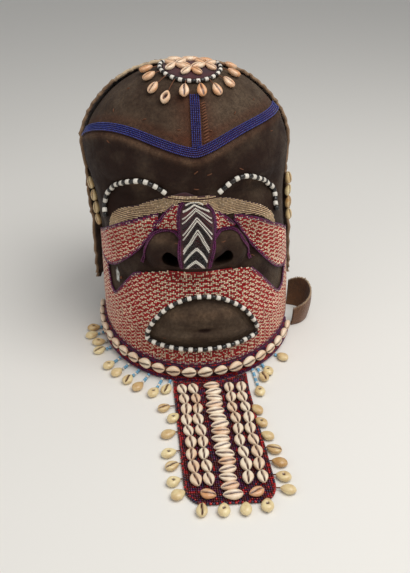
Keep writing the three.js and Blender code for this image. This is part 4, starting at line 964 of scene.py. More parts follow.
def nostril_cutter(side):
    """A round bar, flattened and tilted, that goes through the wall under a wing of the nose."""
    angle = nose_line(NOSTRIL_HEIGHT) + side * NOSTRIL_OUT / 2
    centre = face_point(angle, NOSTRIL_HEIGHT)
    tilt_x, tilt_z = np.radians(-8), np.radians(side * 4)
    along = np.array([-np.sin(tilt_z), np.cos(tilt_z), np.sin(tilt_x)])
    piece = Piece("nostril_bar", ["bare_wood"])
    points, faces = turned([(-0.5, 0.5), (0.5, 0.5)], 48)
    scatter(piece, (points, faces, np.zeros(len(points))), centre, along, (0, 0, 1),
            (90, 2 * NOSTRIL_RADII[0], 2 * NOSTRIL_RADII[1]))
    mesh = bpy.data.meshes.new("nostril_bar")
    corners = [tuple(face) for part in piece.faces for face in part.tolist()]
    mesh.from_pydata((np.vstack(piece.points) * MM + SHIFT).tolist(), [], corners)
    cutter = bpy.data.objects.new("nostril_bar", mesh)
    bpy.context.collection.objects.link(cutter)
    return cutter


def make_head(sizes):
    """One skin from the hollow's crown down its wall, across the rim and up over the carved face.

    Its grid is angles round the head by heights along its profile, finest over the lips.
    """
    angles = np.concatenate([np.arange(-96, 96.1, 0.85), np.linspace(96.85, 263.15, 36)])
    inner = np.interp(np.linspace(0, 8, 25), np.arange(9), HOLLOW_ROWS)[:, None]
    outer = np.concatenate([np.arange(low, high, step) for low, high, step in HEAD_ROWS])[:, None]
    shell = over_head(angles, inner, -WALL)
    shell[0, :, 2] = 0.0
    skin = face_point(angles, outer) + head_normal(angles, outer) * hide_folds(angles, outer)[..., None]
    rows = np.concatenate([shell[::-1], skin])
    top = over_head(np.array([0.0]), np.array([SPRING + DOME_ARC - 0.6]), 0)[0]
    points = np.vstack([rows.reshape(-1, 3), [[top[0], 0, top[2] - WALL], [DOME_LEAN, 0, CROWN]]])
    wood = np.zeros(inner.size * angles.size)
    values = {name: np.concatenate([wood, value.ravel(), value[-1, :1], value[-1, :1]])
              for name, value in head_values(*np.broadcast_arrays(angles, outer)).items()}
    quads, foot, crown = wrap_faces(len(rows), len(angles))
    hollow = (inner.size - 1) * angles.size
    parts = [quads[:hollow], foot, quads[hollow:], crown]
    piece = Piece("hide_covered_head", ["aged_hide", "bare_wood"])
    piece.add_closed(points, parts)
    piece.finish = [np.full(len(part), kind) for part, kind in zip(parts, (1, 1, 0, 0))]
    head = piece.build(["helmet"], values)
    for side in (-1, 1):
        cutter = nostril_cutter(side)
        bore = head.modifiers.new("nostril", "BOOLEAN")
        bore.operation = "DIFFERENCE"
        bore.solver = "EXACT"
        bore.object = cutter
        bpy.context.view_layer.update()
        mesh = bpy.data.meshes.new_from_object(head.evaluated_get(bpy.context.evaluated_depsgraph_get()))
        head.modifiers.clear()
        head.data = mesh
        bpy.data.objects.remove(cutter)
    head.data.name = "hide_covered_head"


def make_stitches(sizes):
    """Loops of thread through the hide, an overcast seam beside the upright band, and a dab of chalk."""
    piece = Piece("hide_stitches", ["thread", "chalk"])
    arc = np.linspace(-1, 1, 9)
    for k, (angle, height) in enumerate(STITCHES):
        lean = np.radians((k * 67) % 90 - 45)
        path = face_point(angle + 1.2 * arc * np.cos(lean), height + 2.4 * arc * np.sin(lean),
                          0.9 * (1 - arc ** 2) - 0.3)
        add_tube(piece, path, 0.55)
    for height in np.arange(SEAM_FOOT, SEAM_TOP, SEAM_STEP):
        angle = 9.6 + 0.03 * (height - SEAM_FOOT) + 1.7 * arc
        add_tube(piece, face_point(angle, height + 1.6 * arc, 1.0 * (1 - arc ** 2) - 0.3), 0.8)
    turn = np.linspace(0, 2 * np.pi, 25)[:-1]
    ring = np.linspace(0.1, 1, 8)[:, None]
    edge = ring * (1 + 0.2 * np.sin(5 * turn) * ring)
    (angle, height), (wide, tall) = CHALK_PLACE, CHALK_SIZE
    top = face_point(angle + wide * edge * np.cos(turn), height + tall * edge * np.sin(turn),
                     0.1 + 0.5 * (1 - ring ** 2) + 0 * turn)
    poles = [face_point(angle, height, lift) for lift in (-1.0, 0.6)]
    piece.add_closed(np.vstack([top.reshape(-1, 3), poles]), wrap_faces(8, 24), 1)
    scatter(piece, SEED, face_point(*KNOT_PLACE, 1.0), (0, 0, 1), face_normal(*KNOT_PLACE), (4.0, 3.6, 3.4))
    piece.build()


def cut_edge(x):
    """How far back the cap's front edge lies: a straight line with a bow behind the crown."""
    return CUT_EDGE + CUT_BOW * bell(x - CROWN_CENTRE[0], 27, 2.5)


def cap_reach(side, height):
    """How far round from the back the cap reaches at a height, found by halving."""
    inner, outer = np.zeros(len(height)), np.full(len(height), 90.0)
    for _ in range(24):
        middle = (inner + outer) / 2
        point = head_point(180 - side * middle, height)
        behind = point[:, 1] > cut_edge(point[:, 0])
        inner, outer = np.where(behind, middle, inner), np.where(behind, outer, middle)
    return inner


def make_cap(sizes):
    """Two skins over the back of the head whose front edge stands away from the dome, and their cut edges."""
    rag = sizes.hide_rag / MM
    u = np.linspace(0, 1, 150)[:, None]
    v = np.linspace(0, 1, 90)[None]
    heights = CAP_HEM_SIDE + (SPRING + DOME_ARC - 17.3 - CAP_HEM_SIDE) * v[0] ** 0.8
    right, left = cap_reach(1, heights), cap_reach(-1, heights)
    angle = 180 - right + (left + right) * u
    hem = CAP_HEM_SIDE + (CAP_HEM_BACK - CAP_HEM_SIDE) * smooth(0, 0.25, np.minimum(u, 1 - u))
    k = np.clip(v / 0.2, 0, 1)
    height = hem * (1 - k) + heights * k + rag * 1.6 * ripple(u * 40, 0 * v, 2) * fall(0.1, 0, v)
    from_edge = np.minimum(u, 1 - u)
    ragged = 0.4 * rag * ripple(v * 55, 0 * u, 1) + 0.5 * rag * ripple(v * 17, 0 * u, 3) * fall(0.6, 0.4, v)
    angle = angle + ragged * fall(0.02, 0, from_edge) * np.sign(0.5 - u)
    point = head_point(angle, height)
    x, y, z = np.moveaxis(point, -1, 0)
    to_right = smooth(-60, 60, x)
    stand = CAP_FLARE_TOP + (CAP_FLARE_LOW - CAP_FLARE_TOP) * fall(CAP_BEND, CAP_BEND - 50, z)
    flare = stand * (1 - 0.4 * to_right) * bell(y - cut_edge(x), 26)
    wave = 1.1 * ripple(v * 30, u * 9, 4) * bell(y - cut_edge(x), 18) + 0.5 * ripple(u * 30, v * 26, 5)
    low = over_head(angle, height, CAP_GAP + flare + wave)
    high = over_head(angle, height, CAP_GAP + flare + wave + CAP_HIDE)
    piece = Piece("hide_cap_skin", ["nap_hide"])
    pale = 0.3 + 0.7 * smooth(235, 262, z) * fall(20, -10, x) * smooth(-92, -70, x)
    mark = np.maximum(pale * fall(0.012, 0.0, from_edge), 0.3 * fall(0.02, 0.0, v) + 0 * u)
    mark = np.concatenate([mark.ravel(), 0.6 * mark.ravel()])
    add_slab(piece, high, low, 0, mark)
    piece.build(["hide_cap"])


def make_neck_flap(sizes):
    """A strip of hide curled forward beside the jaw, standing on the table."""
    rag = sizes.hide_rag / MM
    u = np.linspace(0, 1, 80)
    v = np.linspace(0, 1, 30)[None, :, None]
    centre = np.column_stack([curve(NECK_FLAP)(u), np.zeros(80)])
    forward = unit(np.gradient(centre, axis=0))
    outward = np.stack([-forward[:, 1], forward[:, 0], np.zeros(80)], -1)
    tall = (36 + 14 * smooth(0.2, 0.8, u)) * np.sin(np.pi * (0.3 + 0.42 * u))
    tall = tall + rag * ripple(u * 30, 0, 6) - rag
    lean = 4 * np.sin(np.pi * v * 0.6)
    spot = centre[:, None] - outward[:, None] * lean + UP * (tall[:, None, None] * v + 0.3)
    half = outward[:, None] * (1.5 - 0.5 * v ** 4)
    piece = Piece("neck_flap_skin", ["nap_hide"])
    mark = np.broadcast_to(0.5 * smooth(0.96, 1.0, v[..., 0]), (80, 30)).ravel()
    add_slab(piece, spot + half, spot - half, 0, np.concatenate([mark, mark]))
    piece.build(["neck_flap"])


# Beadwork
def make_blue_bands(sizes):
    """Five lines of beads side by side along the V band, and five up the crown, each band on its cloth."""
    size = sizes.band_bead / MM
    offsets = np.linspace(-0.4, 0.4, 5) * BAND_WIDTH
    across = 0.14 * BAND_WIDTH
    angles = np.linspace(-84, 84, 400)
    middle = band_height(angles)
    slope = np.hypot(1, (band_height(angles + 1) - band_height(angles - 1)) / 2 / 1.9)
    piece = Piece("brow_band_beads", ["dark_cloth", "bead_blue"])
    wide = slope[::4, None] * np.linspace(-0.49, 0.49, 5) * BAND_WIDTH
    add_slab(piece, *(face_point(angles[::4, None], middle[::4, None] + wide, lift) for lift in (1.3, 0.2)))
    for offset in offsets:
        height = middle + offset * slope
        bead_line(piece, face_point(angles, height, 2.1), face_normal(angles, height), size, across, 1.9, 1)
    piece.build(["brow_bead_band"])

    piece = Piece("crown_band_beads", ["dark_cloth", "bead_blue"])
    upright = curve([(4, band_height(4.0) + BAND_WIDTH / 2), (4.5, 300), (5.5, 331)])
    angle, height = upright(np.linspace(0, 1, 60)).T
    middle, up = face_point(angle, height), head_normal(angle, height)
    wide = middle[:, None] + np.linspace(-0.5, 0.5, 5)[:, None] * BAND_WIDTH * np.array([1.0, 0, 0])
    add_slab(piece, *(wide + up[:, None] * lift for lift in (1.4, 0.2)))
    for offset in offsets:
        bead_line(piece, middle + up * 2.2 + np.array([offset, 0, 0]), up, size, across, 1.9, 1)
    piece.build(["crown_bead_band"])


def make_bridge(sizes):
    """Level rows of small tan beads over the bridge of the nose and under both eyes."""
    size = sizes.bridge_bead / MM
    piece = Piece("bridge_beads", ["dark_cloth", "bead_tan", "bead_cream"])
    cloth_field(piece, curve(BRIDGE_LOWER), curve(BRIDGE_UPPER), 90, 8)
    heights = [168.0]
    while heights[-1] < 217:
        span = face_point(3.0, heights[-1] + 0.5) - face_point(3.0, heights[-1] - 0.5)
        steep = np.linalg.norm(span) if heights[-1] > 204 else 1.0
        heights.append(heights[-1] + 1.12 * size / steep)
    lower = [(a, h - 2.6 * bell(a - 2, 22, 6)) for a, h in BRIDGE_LOWER]
    found = level_rows(outline_of(lower, BRIDGE_UPPER), size, size, 1.7, np.array(heights))
    sew_rows(piece, found, 0.5 * size, 1.8, size, 1 + (rng.random(len(found)) < 0.07), size * 0.92)
    piece.build(["bridge_bead_band"])


def make_cheeks(sizes):
    """Zigzag stripes on both cheeks and both sides of the nose, edged with purple lines."""
    row, size = sizes.seed_row / MM, sizes.seed_bead / MM
    fields = {
        "cheek_left": (CHEEK_LOWER_LEFT, CHEEK_UPPER_LEFT, (-1.1, 1.1)),
        "cheek_right": (CHEEK_LOWER_RIGHT, CHEEK_UPPER_RIGHT, (-1.1, 1.1)),
        "nose_left": (FLANK_OUTER_LEFT, FLANK_INNER_LEFT, (0,)),
        "nose_right": (FLANK_OUTER_RIGHT, FLANK_INNER_RIGHT, (0,)),
    }
    for name, (lower, upper, upper_lines) in fields.items():
        piece = Piece(name.replace("_", "_beads_"), ZIGZAG_FINISHES)
        cloth_field(piece, curve(lower), curve(upper), 40, 20)
        found = level_rows(outline_of(lower, upper), size, row, SEED_LIFT)
        sew_rows(piece, found, row, SEED_LIFT, size, 1 + zigzag(found[:, 2], found[:, 1], sizes))
        edging(piece, lower)
        edging(piece, upper, upper_lines)
        piece.build([name.replace("_", "_beadwork_")])


def make_nose_ridge(sizes):
    """Lines of beads that rise from both borders to the middle: black ones, and two white in each chevron.

    A line falls from its apex to its arm's end at the border, nearly in proportion to the distance out.
    """
    size = sizes.seed_row / MM
    piece = Piece("nose_ridge_beads", ["dark_cloth", "bead_black", "bead_white", "bead_purple"])
    left, right = curve(RIDGE_LEFT), curve(RIDGE_RIGHT)
    cloth_field(piece, left, right, 50, 14)
    borders = [edge(np.linspace(0, 1, 50)) for edge in (left, right)]
    apexes, arms = np.array(NOSE_CHEVRONS)[::-1].T
    lines = []
    gaps = -np.diff([row[0] for row in NOSE_CHEVRONS] + [124])
    for (apex, arm), gap in zip(NOSE_CHEVRONS, gaps):
        step = np.clip(gap / 4 - 0.9, 0.1, 0.5 * size * np.hypot(1, (apex - arm) / HALF_RIDGE))
        lines += [(apex + step, 2), (apex - step, 2)]
    for (above, _), (below, _) in zip(lines[1::2], lines[2::2]):
        drop = above - np.interp(above, apexes, arms)
        count = max(int(round((above - below) / (1.16 * size * np.hypot(1, drop / HALF_RIDGE)))) - 1, 0)
        lines += [(below + (above - below) * (k + 1) / (count + 1), 1) for k in range(count)]
    lines += [(138.5, 1), (136, 1)]
    out = np.linspace(-1, 1, 81)
    for apex, kind in lines:
        height = apex - np.interp(apex, apexes, apexes - arms) * np.abs(out) ** 1.1
        low, high = (np.interp(height, border[:, 1], border[:, 0]) for border in borders)
        angle = (low + high) / 2 + out * ((high - low) / 2 - 1.5)
        keep = (height > RIDGE_FOOT) & (height < RIDGE_TOP)
        if keep.sum() > 3:
            angle, height = angle[keep], height[keep]
            line = face_point(angle, height, LINE_LIFT)
            bead_line(piece, line, face_normal(angle, height), size, 1.08 * size, size, kind)
    edging(piece, RIDGE_LEFT, (-0.2, 1.8))
    edging(piece, RIDGE_RIGHT, (0.2, -1.8))
    piece.build(["nose_ridge_band"])


def make_muzzle(sizes):
    """Zigzag stripes round the mouth, with purple lines along the lower edge and the gaps beside the nose."""
    row, size = sizes.seed_row / MM, sizes.seed_bead / MM
    piece = Piece("muzzle_beads", ZIGZAG_FINISHES)
    upper = curve(MUZZLE_EDGE)(np.linspace(0, 1, 200))
    found = level_rows(np.concatenate([upper, [[84, MUZZLE_LOW], [-84, MUZZLE_LOW]]]), size, row, SEED_LIFT)
    reach = MOUTH_SPREAD + 1.2
    out, height = found[:, 0] - MOUTH_MIDDLE, found[:, 1]
    shown = MOUTH_MIDDLE + out * MOUTH_SPREAD / reach
    in_mouth = ((np.abs(out) < reach) & (height > mouth_edge(shown, -1) - 1.5)
                & (height < mouth_edge(shown, 1) + 1.5))
    found = found[~in_mouth]
    angle, height = found[:, 0], found[:, 1]
    loose = 0.5 * bell(height - 128, 5) * bell(angle, 26, 4)
    loose = loose + 0.6 * bell(height - 34, 8) * bell(angle - 2, 34, 4)
    sew_rows(piece, found, row, SEED_LIFT, size, 1 + zigzag(found[:, 2], height, sizes, loose))
    around = np.linspace(-84, 84, 100)[:, None]
    climb = np.linspace(0, 1, 12)[None]
    at_mouth = np.clip(around, MOUTH_MIDDLE - MOUTH_SPREAD, MOUTH_MIDDLE + MOUTH_SPREAD)
    edge = np.interp(around, upper[:, 0], upper[:, 1])
    for low, high in ((MUZZLE_LOW, mouth_edge(at_mouth, -1)), (mouth_edge(at_mouth, 1), edge)):
        spots = low * (1 - climb) + np.maximum(high, low + 0.2) * climb
        add_slab(piece, face_point(around, spots, 1.0), face_point(around, spots, CLOTH_BACK))
    for line in ([(a, MUZZLE_LOW + 1.2) for a in range(-84, 85, 12)], MUZZLE_EDGE[1:9], MUZZLE_EDGE[14:-1],
                 NOSTRIL_ARCH_LEFT, NOSTRIL_ARCH_RIGHT):
        edging(piece, line)
    piece.build(["muzzle_beadwork"])


def make_large_beads(sizes):
    """White and black beads in turn over both eyes and round the mouth."""
    size = sizes.pony_bead / MM
    turn = np.linspace(0, 2 * np.pi, 241)
    angle = MOUTH_MIDDLE + (MOUTH_SPREAD - 0.6) * np.cos(turn)
    height = np.where(np.sin(turn) >= 0, mouth_edge(angle, 1), mouth_edge(angle, -1))
    lines = {
        "eye_beads_left": face_line(EYE_LEFT, size / 2 + 0.4, size),
        "eye_beads_right": face_line(EYE_RIGHT, size / 2 + 0.4, size),
        "mouth_beads": resample(face_point(angle, height, size / 2 + 1.4), face_normal(angle, height), size),
    }
    for node, (centre, along, up, pitch) in lines.items():
        piece = Piece(node + "_row", ["bead_white", "bead_black"])
        black = np.arange(len(centre)) % 2
        wide = np.where(black, 0.98, 1.0) * size * (1 + 0.05 * (rng.random(len(centre)) - 0.5))
        size_of = np.stack([np.full(len(centre), pitch), wide, wide], -1)
        scatter(piece, PONY, centre, along, up, size_of, black)
        piece.build([node])


# The crown
def on_dome(place, lift):
    """Points over the dome, above places in plan."""
    place = np.asarray(place, float)
    x, y = place[..., 0], place[..., 1]
    return np.stack([x, y, dome_height(x, y) + lift], -1)


def heading_of(turn):
    """The direction in plan of an angle in radians."""
    return np.stack([np.cos(turn), np.sin(turn)], -1)


def lie_on_dome(piece, shape, spot, heading, lift, up, size, finish, tone):
    """One shell on the dome, its length along the slope of the dome in its own direction."""
    slope = on_dome(spot + heading, 0) - on_dome(spot - heading, 0)
    scatter(piece, shape, on_dome(spot, lift), slope, up, size, finish, tone)


def make_crown(sizes):
    """A round cloth with cowries in flowers, its ring of beads, and cowries that hang from short threads."""
    piece = Piece("crown_flowers", ["dark_cloth", "cowrie_cream"])
    turn = 2 * np.pi * np.arange(48) / 48
    disc = CROWN_CENTRE + np.linspace(0.04, 1, 12)[:, None, None] * CROWN_RADIUS * heading_of(turn)
    rows = np.concatenate([on_dome(disc, 2.6), on_dome(disc, 0.6)[::-1]])
    poles = [on_dome(CROWN_CENTRE, lift) for lift in (2.6, 0.6)]
    piece.add_closed(np.vstack([rows.reshape(-1, 3), poles]), wrap_faces(24, 48))
    for across, back, turns in FLOWERS:
        for heading in heading_of(np.radians(turns)):
            spot = CROWN_CENTRE + np.array([across, back]) + PETAL_OUT * heading
            if np.hypot(*(spot + 4 * heading - CROWN_CENTRE)) <= CROWN_RADIUS:
                lie_on_dome(piece, COWRIE, spot, heading, 5.0, UP, PETAL, 1, 0.3 + 0.6 * rng.random())
    piece.build(["crown_disc"])

    size = sizes.crown_bead / MM
    piece = Piece("crown_ring_beads", ["bead_white", "bead_black"])
    ring = on_dome(CROWN_CENTRE + (CROWN_RADIUS + 3.4) * heading_of(np.linspace(0, 2 * np.pi, 181)), 3.0)
    centre, along, up, pitch = resample(ring, np.tile(UP, (181, 1)), size)
    scatter(piece, PONY, centre, along, up, (pitch, size * 0.95, size * 0.95), np.arange(len(centre)) % 2)
    piece.build(["crown_bead_ring"])

    for k, (degrees, longer, higher) in enumerate(CROWN_THREADS):
        piece = Piece(f"crown_hanging_{k + 1}", ["cowrie_cream", "thread"])
        heading = heading_of(np.radians(degrees))
        reach = CROWN_RADIUS + 18.3 + longer
        shape, up = (HOLLOW, -UP) if degrees == HOLLOW_SHELL else (COWRIE, UP)
        lie_on_dome(piece, shape, CROWN_CENTRE + heading * reach, heading, 4.6 + higher, up, HANGING_SHELL, 0,
                    0.5 + 0.45 * rng.random())
        out = np.linspace(CROWN_RADIUS + 2.0, reach - 5.5, 8)[:, None]
        add_tube(piece, on_dome(CROWN_CENTRE + heading * out, np.linspace(3.6, 3.6 + higher, 8)), 0.55, 1)
        piece.build([f"crown_shell_{k + 1}"])


# The chin band and what hangs from it
def make_chin_band(sizes):
    """A strip of cloth that flares on to the table, with lines of purple and red beads along both edges."""
    around = np.linspace(*CHIN_SPAN, 160)[:, None]
    height = np.linspace(CHIN_LOW, MUZZLE_LOW - 0.8, 12)[None] + 0 * around
    piece = Piece("chin_band_cloth", ["dark_cloth"])
    add_slab(piece, *(face_point(around, height, chin_lift(height) + out) for out in (1.2, 0.2)))
    band = piece.build(["chin_band"])

    piece = Piece("chin_band_beads", ["bead_purple", "bead_red", "bead_dark_blue"])
    angles = np.linspace(CHIN_SPAN[0] + 0.5, CHIN_SPAN[1] - 0.5, 400)
    for height, finish in CHIN_LINES:
        line = face_point(angles, height, chin_lift(height) + LINE_LIFT)
        bead_line(piece, line, face_normal(angles, height), 2.0, 2.0, 1.9,
                  lambda count, own=finish: np.where(rng.random(count) < 0.2, 1, own))
    beads = piece.build()


def make_chin_cowries(sizes):
    """Cowries end to end along the band, slit side out, tied with brown thread."""
    angles = np.linspace(-97, 70, 400)
    line = face_point(angles, CHIN_COWRIE_HEIGHT, chin_lift(CHIN_COWRIE_HEIGHT) + 2.2 + SHELL[2] / 2)
    up = face_normal(angles, CHIN_COWRIE_HEIGHT)
    centre, along, ups, pitch = resample(line, up, CHIN_COWRIE_STEP)
    piece = Piece("chin_cowrie_row", ["cowrie_cream", "thread"])
    count = len(centre)
    tilted = along + 0.16 * (rng.random(count) - 0.5)[:, None] * np.cross(ups, along)
    size = SHELL * (1 + 0.1 * (rng.random((count, 1)) - 0.5)) * [0.9 * pitch / SHELL[0], 1.06, 1]
    scatter(piece, COWRIE, centre, tilted, ups, size, 0, 0.1 + 0.35 * rng.random(count))
    joint = (centre[1:] + centre[:-1]) / 2 - ups[1:] * 0.8
    scatter(piece, SEED, joint, np.cross(ups[1:], along[1:]), ups[1:], (6.5, 4.2, 3.6), 1)
    piece.build(["chin_cowries"])


def make_strands(sizes):
    """Short threads from the band to the table: light blue and white beads, then a cowrie on its slit."""
    for k, (from_angle, to_angle, reach) in enumerate(CHIN_STRANDS):
        piece = Piece(f"chin_thread_{k + 1}", ["thread", "bead_light_blue", "bead_white", "cowrie_yellow"])
        start = over_head(from_angle, 0.0, chin_lift(CHIN_LOW) + 3.4)
        end = over_head(to_angle, 0.0, reach + SHELL[0] / 2 - 2)
        start[2], end[2] = STRAND_LIFT, STRAND_REST
        whole = np.linalg.norm(end - start)
        along = (end - start) / whole
        beads = max(whole - SHELL[0], 3.0)
        t = np.linspace(0, 1, 8)
        path = start + along * (beads + 2) * t[:, None]
        path[:, 2] = np.maximum(STRAND_LIFT - 1.2 * np.sin(np.pi * t), 1.5)
        add_tube(piece, path, 0.5)
        centre, heading, up, pitch = resample(path[:-1], np.tile(UP, (7, 1)), 3.4)
        white = (np.arange(len(centre)) + k) % 3 // 2
        scatter(piece, SEED, centre, heading, up, (pitch * 0.96, 4.0, 4.0), 1 + white)
        swing = np.array([-along[1], along[0], 0]) * 0.5 * (rng.random() - 0.5)
        shape = COWRIE if k in SLIT_UP or k % 2 else HOLED
        centre, up = start + along * (beads + SHELL[0] / 2), UP if k in SLIT_UP else -UP
        tone = 0.7 * rng.random() ** 1.5
        scatter(piece, shape, centre, along + swing, up, SHELL * [0.97, 1, 0.95], 3, tone)
        piece.build([f"chin_strand_{k + 1}"])


# The beard panel
def panel_point(across, y, z):
    """A place on the panel: from its middle line, along it and over the table."""
    return np.stack([panel_drift(y) + across, y + 0 * across, z + 0 * across], -1)


def panel_top_at(x):
    """The panel's top edge: the curve of the chin band's foot, which it leaves."""
    out = chin_lift(CHIN_LOW) + 2.9
    wide = CHEEK_HALF_WIDTH + np.where(x < 0, RIM_SPREAD_LEFT, RIM_SPREAD) + out
    return -(BROW_DEPTH + MUZZLE_REACH + out) * np.sqrt(1 - (x / wide) ** 2)


def make_panel(sizes):
    """Cloth laid on the table, covered with rows of beads and edged with red, purple and blue ones."""
    u = np.linspace(-1, 1, 24)[None]
    top = panel_top_at(panel_drift(PANEL_TOP) + panel_half(PANEL_TOP) * u)
    y = top + (PANEL_END - top) * np.linspace(0, 1, 90)[:, None] ** 0.8
    piece = Piece("beard_panel_cloth", ["dark_cloth"])
    add_slab(piece, *(panel_point(panel_half(y) * u, y, z) for z in (1.7, 0.5)))
    cloth = piece.build(["beard_panel"])

    piece = Piece("beard_panel_beads", ["bead_brown", "bead_red", "bead_dark_blue", "bead_purple"])
    rows = np.arange(PANEL_TOP + 40, PANEL_END + 1.0, -PANEL_BEAD)
    columns = np.arange(-PANEL_WIDTH / 2 + 0.5, PANEL_WIDTH / 2, PANEL_BEAD)
    x, y = (g.ravel() for g in np.meshgrid(columns, rows))
    room = np.minimum(panel_half(y) - np.abs(x), panel_top_at(panel_drift(y) + x) - y)
    x, y, room = (g[room > 1.0] for g in (x, y, room))
    chance = rng.random(len(x))
    brown = chance + 0.2 * ripple(x / 9, y / 11, 2) < 0.5
    kind = np.select([(room < 3.6) & (chance > 0.5), brown, chance < 0.62, chance < 0.8], [1, 0, 1, 2], 3)
    scatter(piece, SEED, panel_point(x, y, 2.5), (0, 1, 0), UP, (PANEL_BEAD, PANEL_BEAD, 2.0), kind)
    ends = []
    for side in (-1, 1):
        start = panel_top_at(panel_drift(PANEL_TOP) + side * panel_half(PANEL_TOP)) - 1.5
        y = np.linspace(start, PANEL_END, 300)
        line = panel_point(side * (panel_half(y) - 0.6), y, 2.4)
        ends.append(line[-1])
        bead_line(piece, line, np.tile(UP, (300, 1)), 2.8, 2.8, 2.6,
                  lambda count: rng.choice([0, 0, 1, 2], count))
    bead_line(piece, np.stack(ends), np.tile(UP, (2, 1)), 3.1, 2.8, 2.6,
              lambda count: 2 - np.arange(count) % 2)
    beads = piece.build()


def make_panel_cowries(sizes):
    """Four columns of cowries along the panel, one crosswise down its middle, and one in each last corner."""
    for name, offset in PANEL_COLUMNS.items():
        piece = Piece(f"beard_column_{name}", ["cowrie_cream", "thread"])
        k = np.arange(9)
        y = PANEL_TOP - 8.2 - (k + 0.55) * COLUMN_PITCH
        centre = panel_point(offset + 0.8 * np.sin(k * 2.1 + offset), y, PANEL_DECK)
        along = np.stack([0.2 * np.sin(k * 1.7 + offset) - 0.06, np.ones(9), np.zeros(9)], -1)
        size = SHELL * [0.95, 0.95, 1] * (1 + 0.12 * (rng.random((9, 1)) - 0.5))
        scatter(piece, COWRIE, centre, along, UP, size, 0, 0.05 + 0.5 * rng.random(9) ** 1.5)
        knots = panel_point(np.full(8, offset), (y[1:] + y[:-1]) / 2, PANEL_DECK - 2.2)
        scatter(piece, SEED, knots, (0, 1, 0), UP, (6.0, 3.0, 3.0), 1)
        piece.build([f"beard_cowries_{name}"])
    piece = Piece("beard_column_middle", ["cowrie_cream"])
    k = np.arange(16)
    centre = panel_point(1.2 * np.sin(k * 1.3), PANEL_TOP - 7.2 - (k + 0.55) * MIDDLE_PITCH, PANEL_DECK)
    along = np.stack([np.ones(16), 0.24 * np.sin(k * 2.3), np.zeros(16)], -1)
    lean = np.stack([np.zeros(16), -0.25 + 0.2 * np.sin(k), np.ones(16)], -1)
    size = SHELL * [1.1, 0.86, 0.95] * (1 + 0.12 * (rng.random((16, 1)) - 0.5))
    scatter(piece, COWRIE, centre, along, lean, size, 0, 0.05 + 0.6 * rng.random(16) ** 1.5)
    piece.build(["beard_cowries_middle"])
    for name, side in (("left", -1), ("right", 1)):
        piece = Piece(f"beard_corner_{name}", ["cowrie_cream"])
        centre = [panel_drift(PANEL_END) + side * CORNER_OUT, PANEL_END + 8, PANEL_DECK]
        scatter(piece, COWRIE, centre, (side * 7.7, 2.8, 0), UP, CORNER_SHELL, 0, 0.95)
        piece.build([f"beard_cowrie_corner_{name}"])


def make_fringes(sizes):
    """Cowries hung from the panel's edges by short threads, lying on the table."""
    for name, spots in FRINGES.items():
        piece = Piece(f"beard_hanging_{name}", ["cowrie_yellow", "thread"])
        side = {"left": -1, "right": 1}.get(name)
        for k, (x, y) in enumerate(spots):
            edge = np.array([x + 1.0, PANEL_END + 0.5])
            if side:
                edge = np.array([panel_drift(y) + side * panel_half(y), y + 4.0])
            centre = np.array([x, y, FRINGE_REST])
            along = np.append(unit(np.array([x, y]) - edge), 0.0)
            back_up = (k + len(name)) % 4 > 0
            scale = [0.82 + 0.16 * rng.random(), 0.9 + 0.14 * rng.random(), 0.95]
            scatter(piece, HOLED if back_up and k % 2 else COWRIE, centre, along, -UP if back_up else UP,
                    SHELL * scale, 0, 0.9 * rng.random() ** 1.5)
            add_tube(piece, np.linspace([*edge, 2.6], centre - along * SHELL[0] * 0.4, 6), 0.7, 1)
        piece.build([f"beard_fringe_{name}"])


def make_side_cowries(sizes):
    """Four cowries in a row beside each temple, against the cap's cut edge."""
    pitch = (SIDE_ROW_TOP - SIDE_ROW_FOOT) / 4
    s = (np.arange(4) + 0.5) * pitch
    for name, side, out in (("left", -1, -4.6), ("right", 1, 8)):
        piece = Piece(f"temple_cowries_{name}", ["cowrie_yellow"])
        x = head_point(side * SIDE_ANGLE, SIDE_ROW_TOP - s)[:, 0] + out
        centre = np.stack([x, -1.5 + 0.02 * s, SIDE_ROW_TOP - s], -1)
        along = np.stack([0.15 * np.sin(s), 0.1 * np.cos(s), -np.ones(4)], -1)
        scatter(piece, COWRIE, centre, along, (side * 0.8, -0.6, 0), (pitch * 0.97, 10.5, 6.8), 0,
                0.2 + 0.5 * rng.random(4))
        piece.build([f"side_cowries_{name}"])


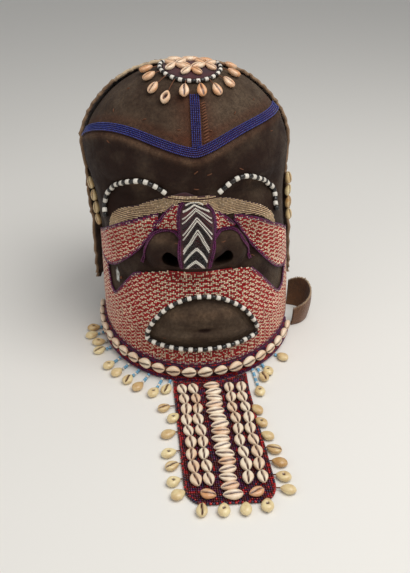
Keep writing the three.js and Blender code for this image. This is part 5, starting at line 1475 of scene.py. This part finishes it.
# The stage
def make_stage(sizes):
    """A pale table, soft lights and the camera at the photograph's height and angle."""
    mesh = bpy.data.meshes.new("table")
    mesh.from_pydata([(-9, -4, 0), (9, -4, 0), (9, 12, 0), (-9, 12, 0)], [], [(0, 1, 2, 3)])
    table = bpy.data.objects.new("table", mesh)
    bpy.context.collection.objects.link(table)
    _, shader = new_material("table")
    shader.inputs["Base Color"].default_value = tone_of(bpy.context.scene.mask_colours.floor)
    shader.inputs["Roughness"].default_value = 0.7
    mesh.materials.append(bpy.data.materials["table"])

    for name, (spot, power) in LIGHTS.items():
        lamp = bpy.data.lights.new(name, "AREA")
        lamp.size = LIGHT_SIZE
        lamp.energy = power
        holder = bpy.data.objects.new(name, lamp)
        holder.location = spot
        holder.rotation_euler = (Vector(LIGHT_AIM) - Vector(spot)).to_track_quat("-Z", "Y").to_euler()
        bpy.context.collection.objects.link(holder)

    world = bpy.data.worlds.new("studio")
    world.use_nodes = True
    background = world.node_tree.nodes["Background"]
    background.inputs["Color"].default_value = (0.95, 0.97, 1.0, 1)
    background.inputs["Strength"].default_value = WORLD_LIGHT
    bpy.context.scene.world = world
    bpy.context.scene.view_settings.view_transform = "Standard"

    camera = bpy.data.cameras.new("camera")
    camera.lens = LENS
    camera.sensor_width = 36.0
    holder = bpy.data.objects.new("camera", camera)
    heading, pitch = np.radians(CAMERA_HEADING), np.radians(CAMERA_PITCH)
    forward = np.array([np.sin(heading) * np.cos(pitch), np.cos(heading) * np.cos(pitch), -np.sin(pitch)])
    right = np.array([np.cos(heading), -np.sin(heading), 0])
    place = np.eye(4)
    place[:3, :3] = np.stack([right, np.cross(right, forward), -forward], 1)
    place[:3, 3] = np.array(CAMERA_PLACE) * MM + SHIFT
    holder.matrix_world = Matrix(place.tolist())
    bpy.context.collection.objects.link(holder)
    bpy.context.scene.camera = holder


def operator(make):
    """An operator class, named and described after the function that makes the piece or the like pieces."""
    def execute(self, context):
        """Makes the piece with the scene's sizes."""
        make(context.scene.mask_sizes)
        return {"FINISHED"}

    name = make.__name__.removeprefix("make_")
    return type("MASK_OT_" + name, (bpy.types.Operator,), {
        "bl_idname": "mask." + name, "bl_label": name.replace("_", " ").capitalize(),
        "__doc__": make.__doc__.split("\n")[0].rstrip("."), "execute": execute})


OPERATORS = [operator(make) for make in (
    make_stage, make_head, make_stitches, make_cap, make_neck_flap, make_blue_bands, make_bridge,
    make_cheeks, make_nose_ridge, make_muzzle, make_large_beads, make_crown, make_chin_band,
    make_chin_cowries, make_strands, make_panel, make_panel_cowries, make_fringes, make_side_cowries)]


class MASK_PT_panel(bpy.types.Panel):
    """Lists the pieces of the mask"""

    bl_label = "Helmet mask"
    bl_idname = "MASK_PT_panel"
    bl_space_type = "VIEW_3D"
    bl_region_type = "UI"
    bl_category = "Mask"

    def draw(self, context):
        """One button for each operator."""
        for made in OPERATORS:
            self.layout.operator(made.bl_idname)


CLASSES = [MaskSizes, MaskColours, *OPERATORS, MASK_PT_panel]


def register():
    """Makes the classes and the scene's sizes and colours known to Blender."""
    for made in CLASSES:
        bpy.utils.register_class(made)
    bpy.types.Scene.mask_sizes = PointerProperty(type=MaskSizes)
    bpy.types.Scene.mask_colours = PointerProperty(type=MaskColours)


def unregister():
    """Takes back what register did."""
    del bpy.types.Scene.mask_colours
    del bpy.types.Scene.mask_sizes
    for made in reversed(CLASSES):
        bpy.utils.unregister_class(made)


def main():
    """Makes every piece in order, and writes the sizes of the model and of the dressed mask."""
    register()
    for made in OPERATORS:
        getattr(bpy.ops.mask, made.bl_idname.split(".")[1])()


if __name__ == "__main__":
    main()
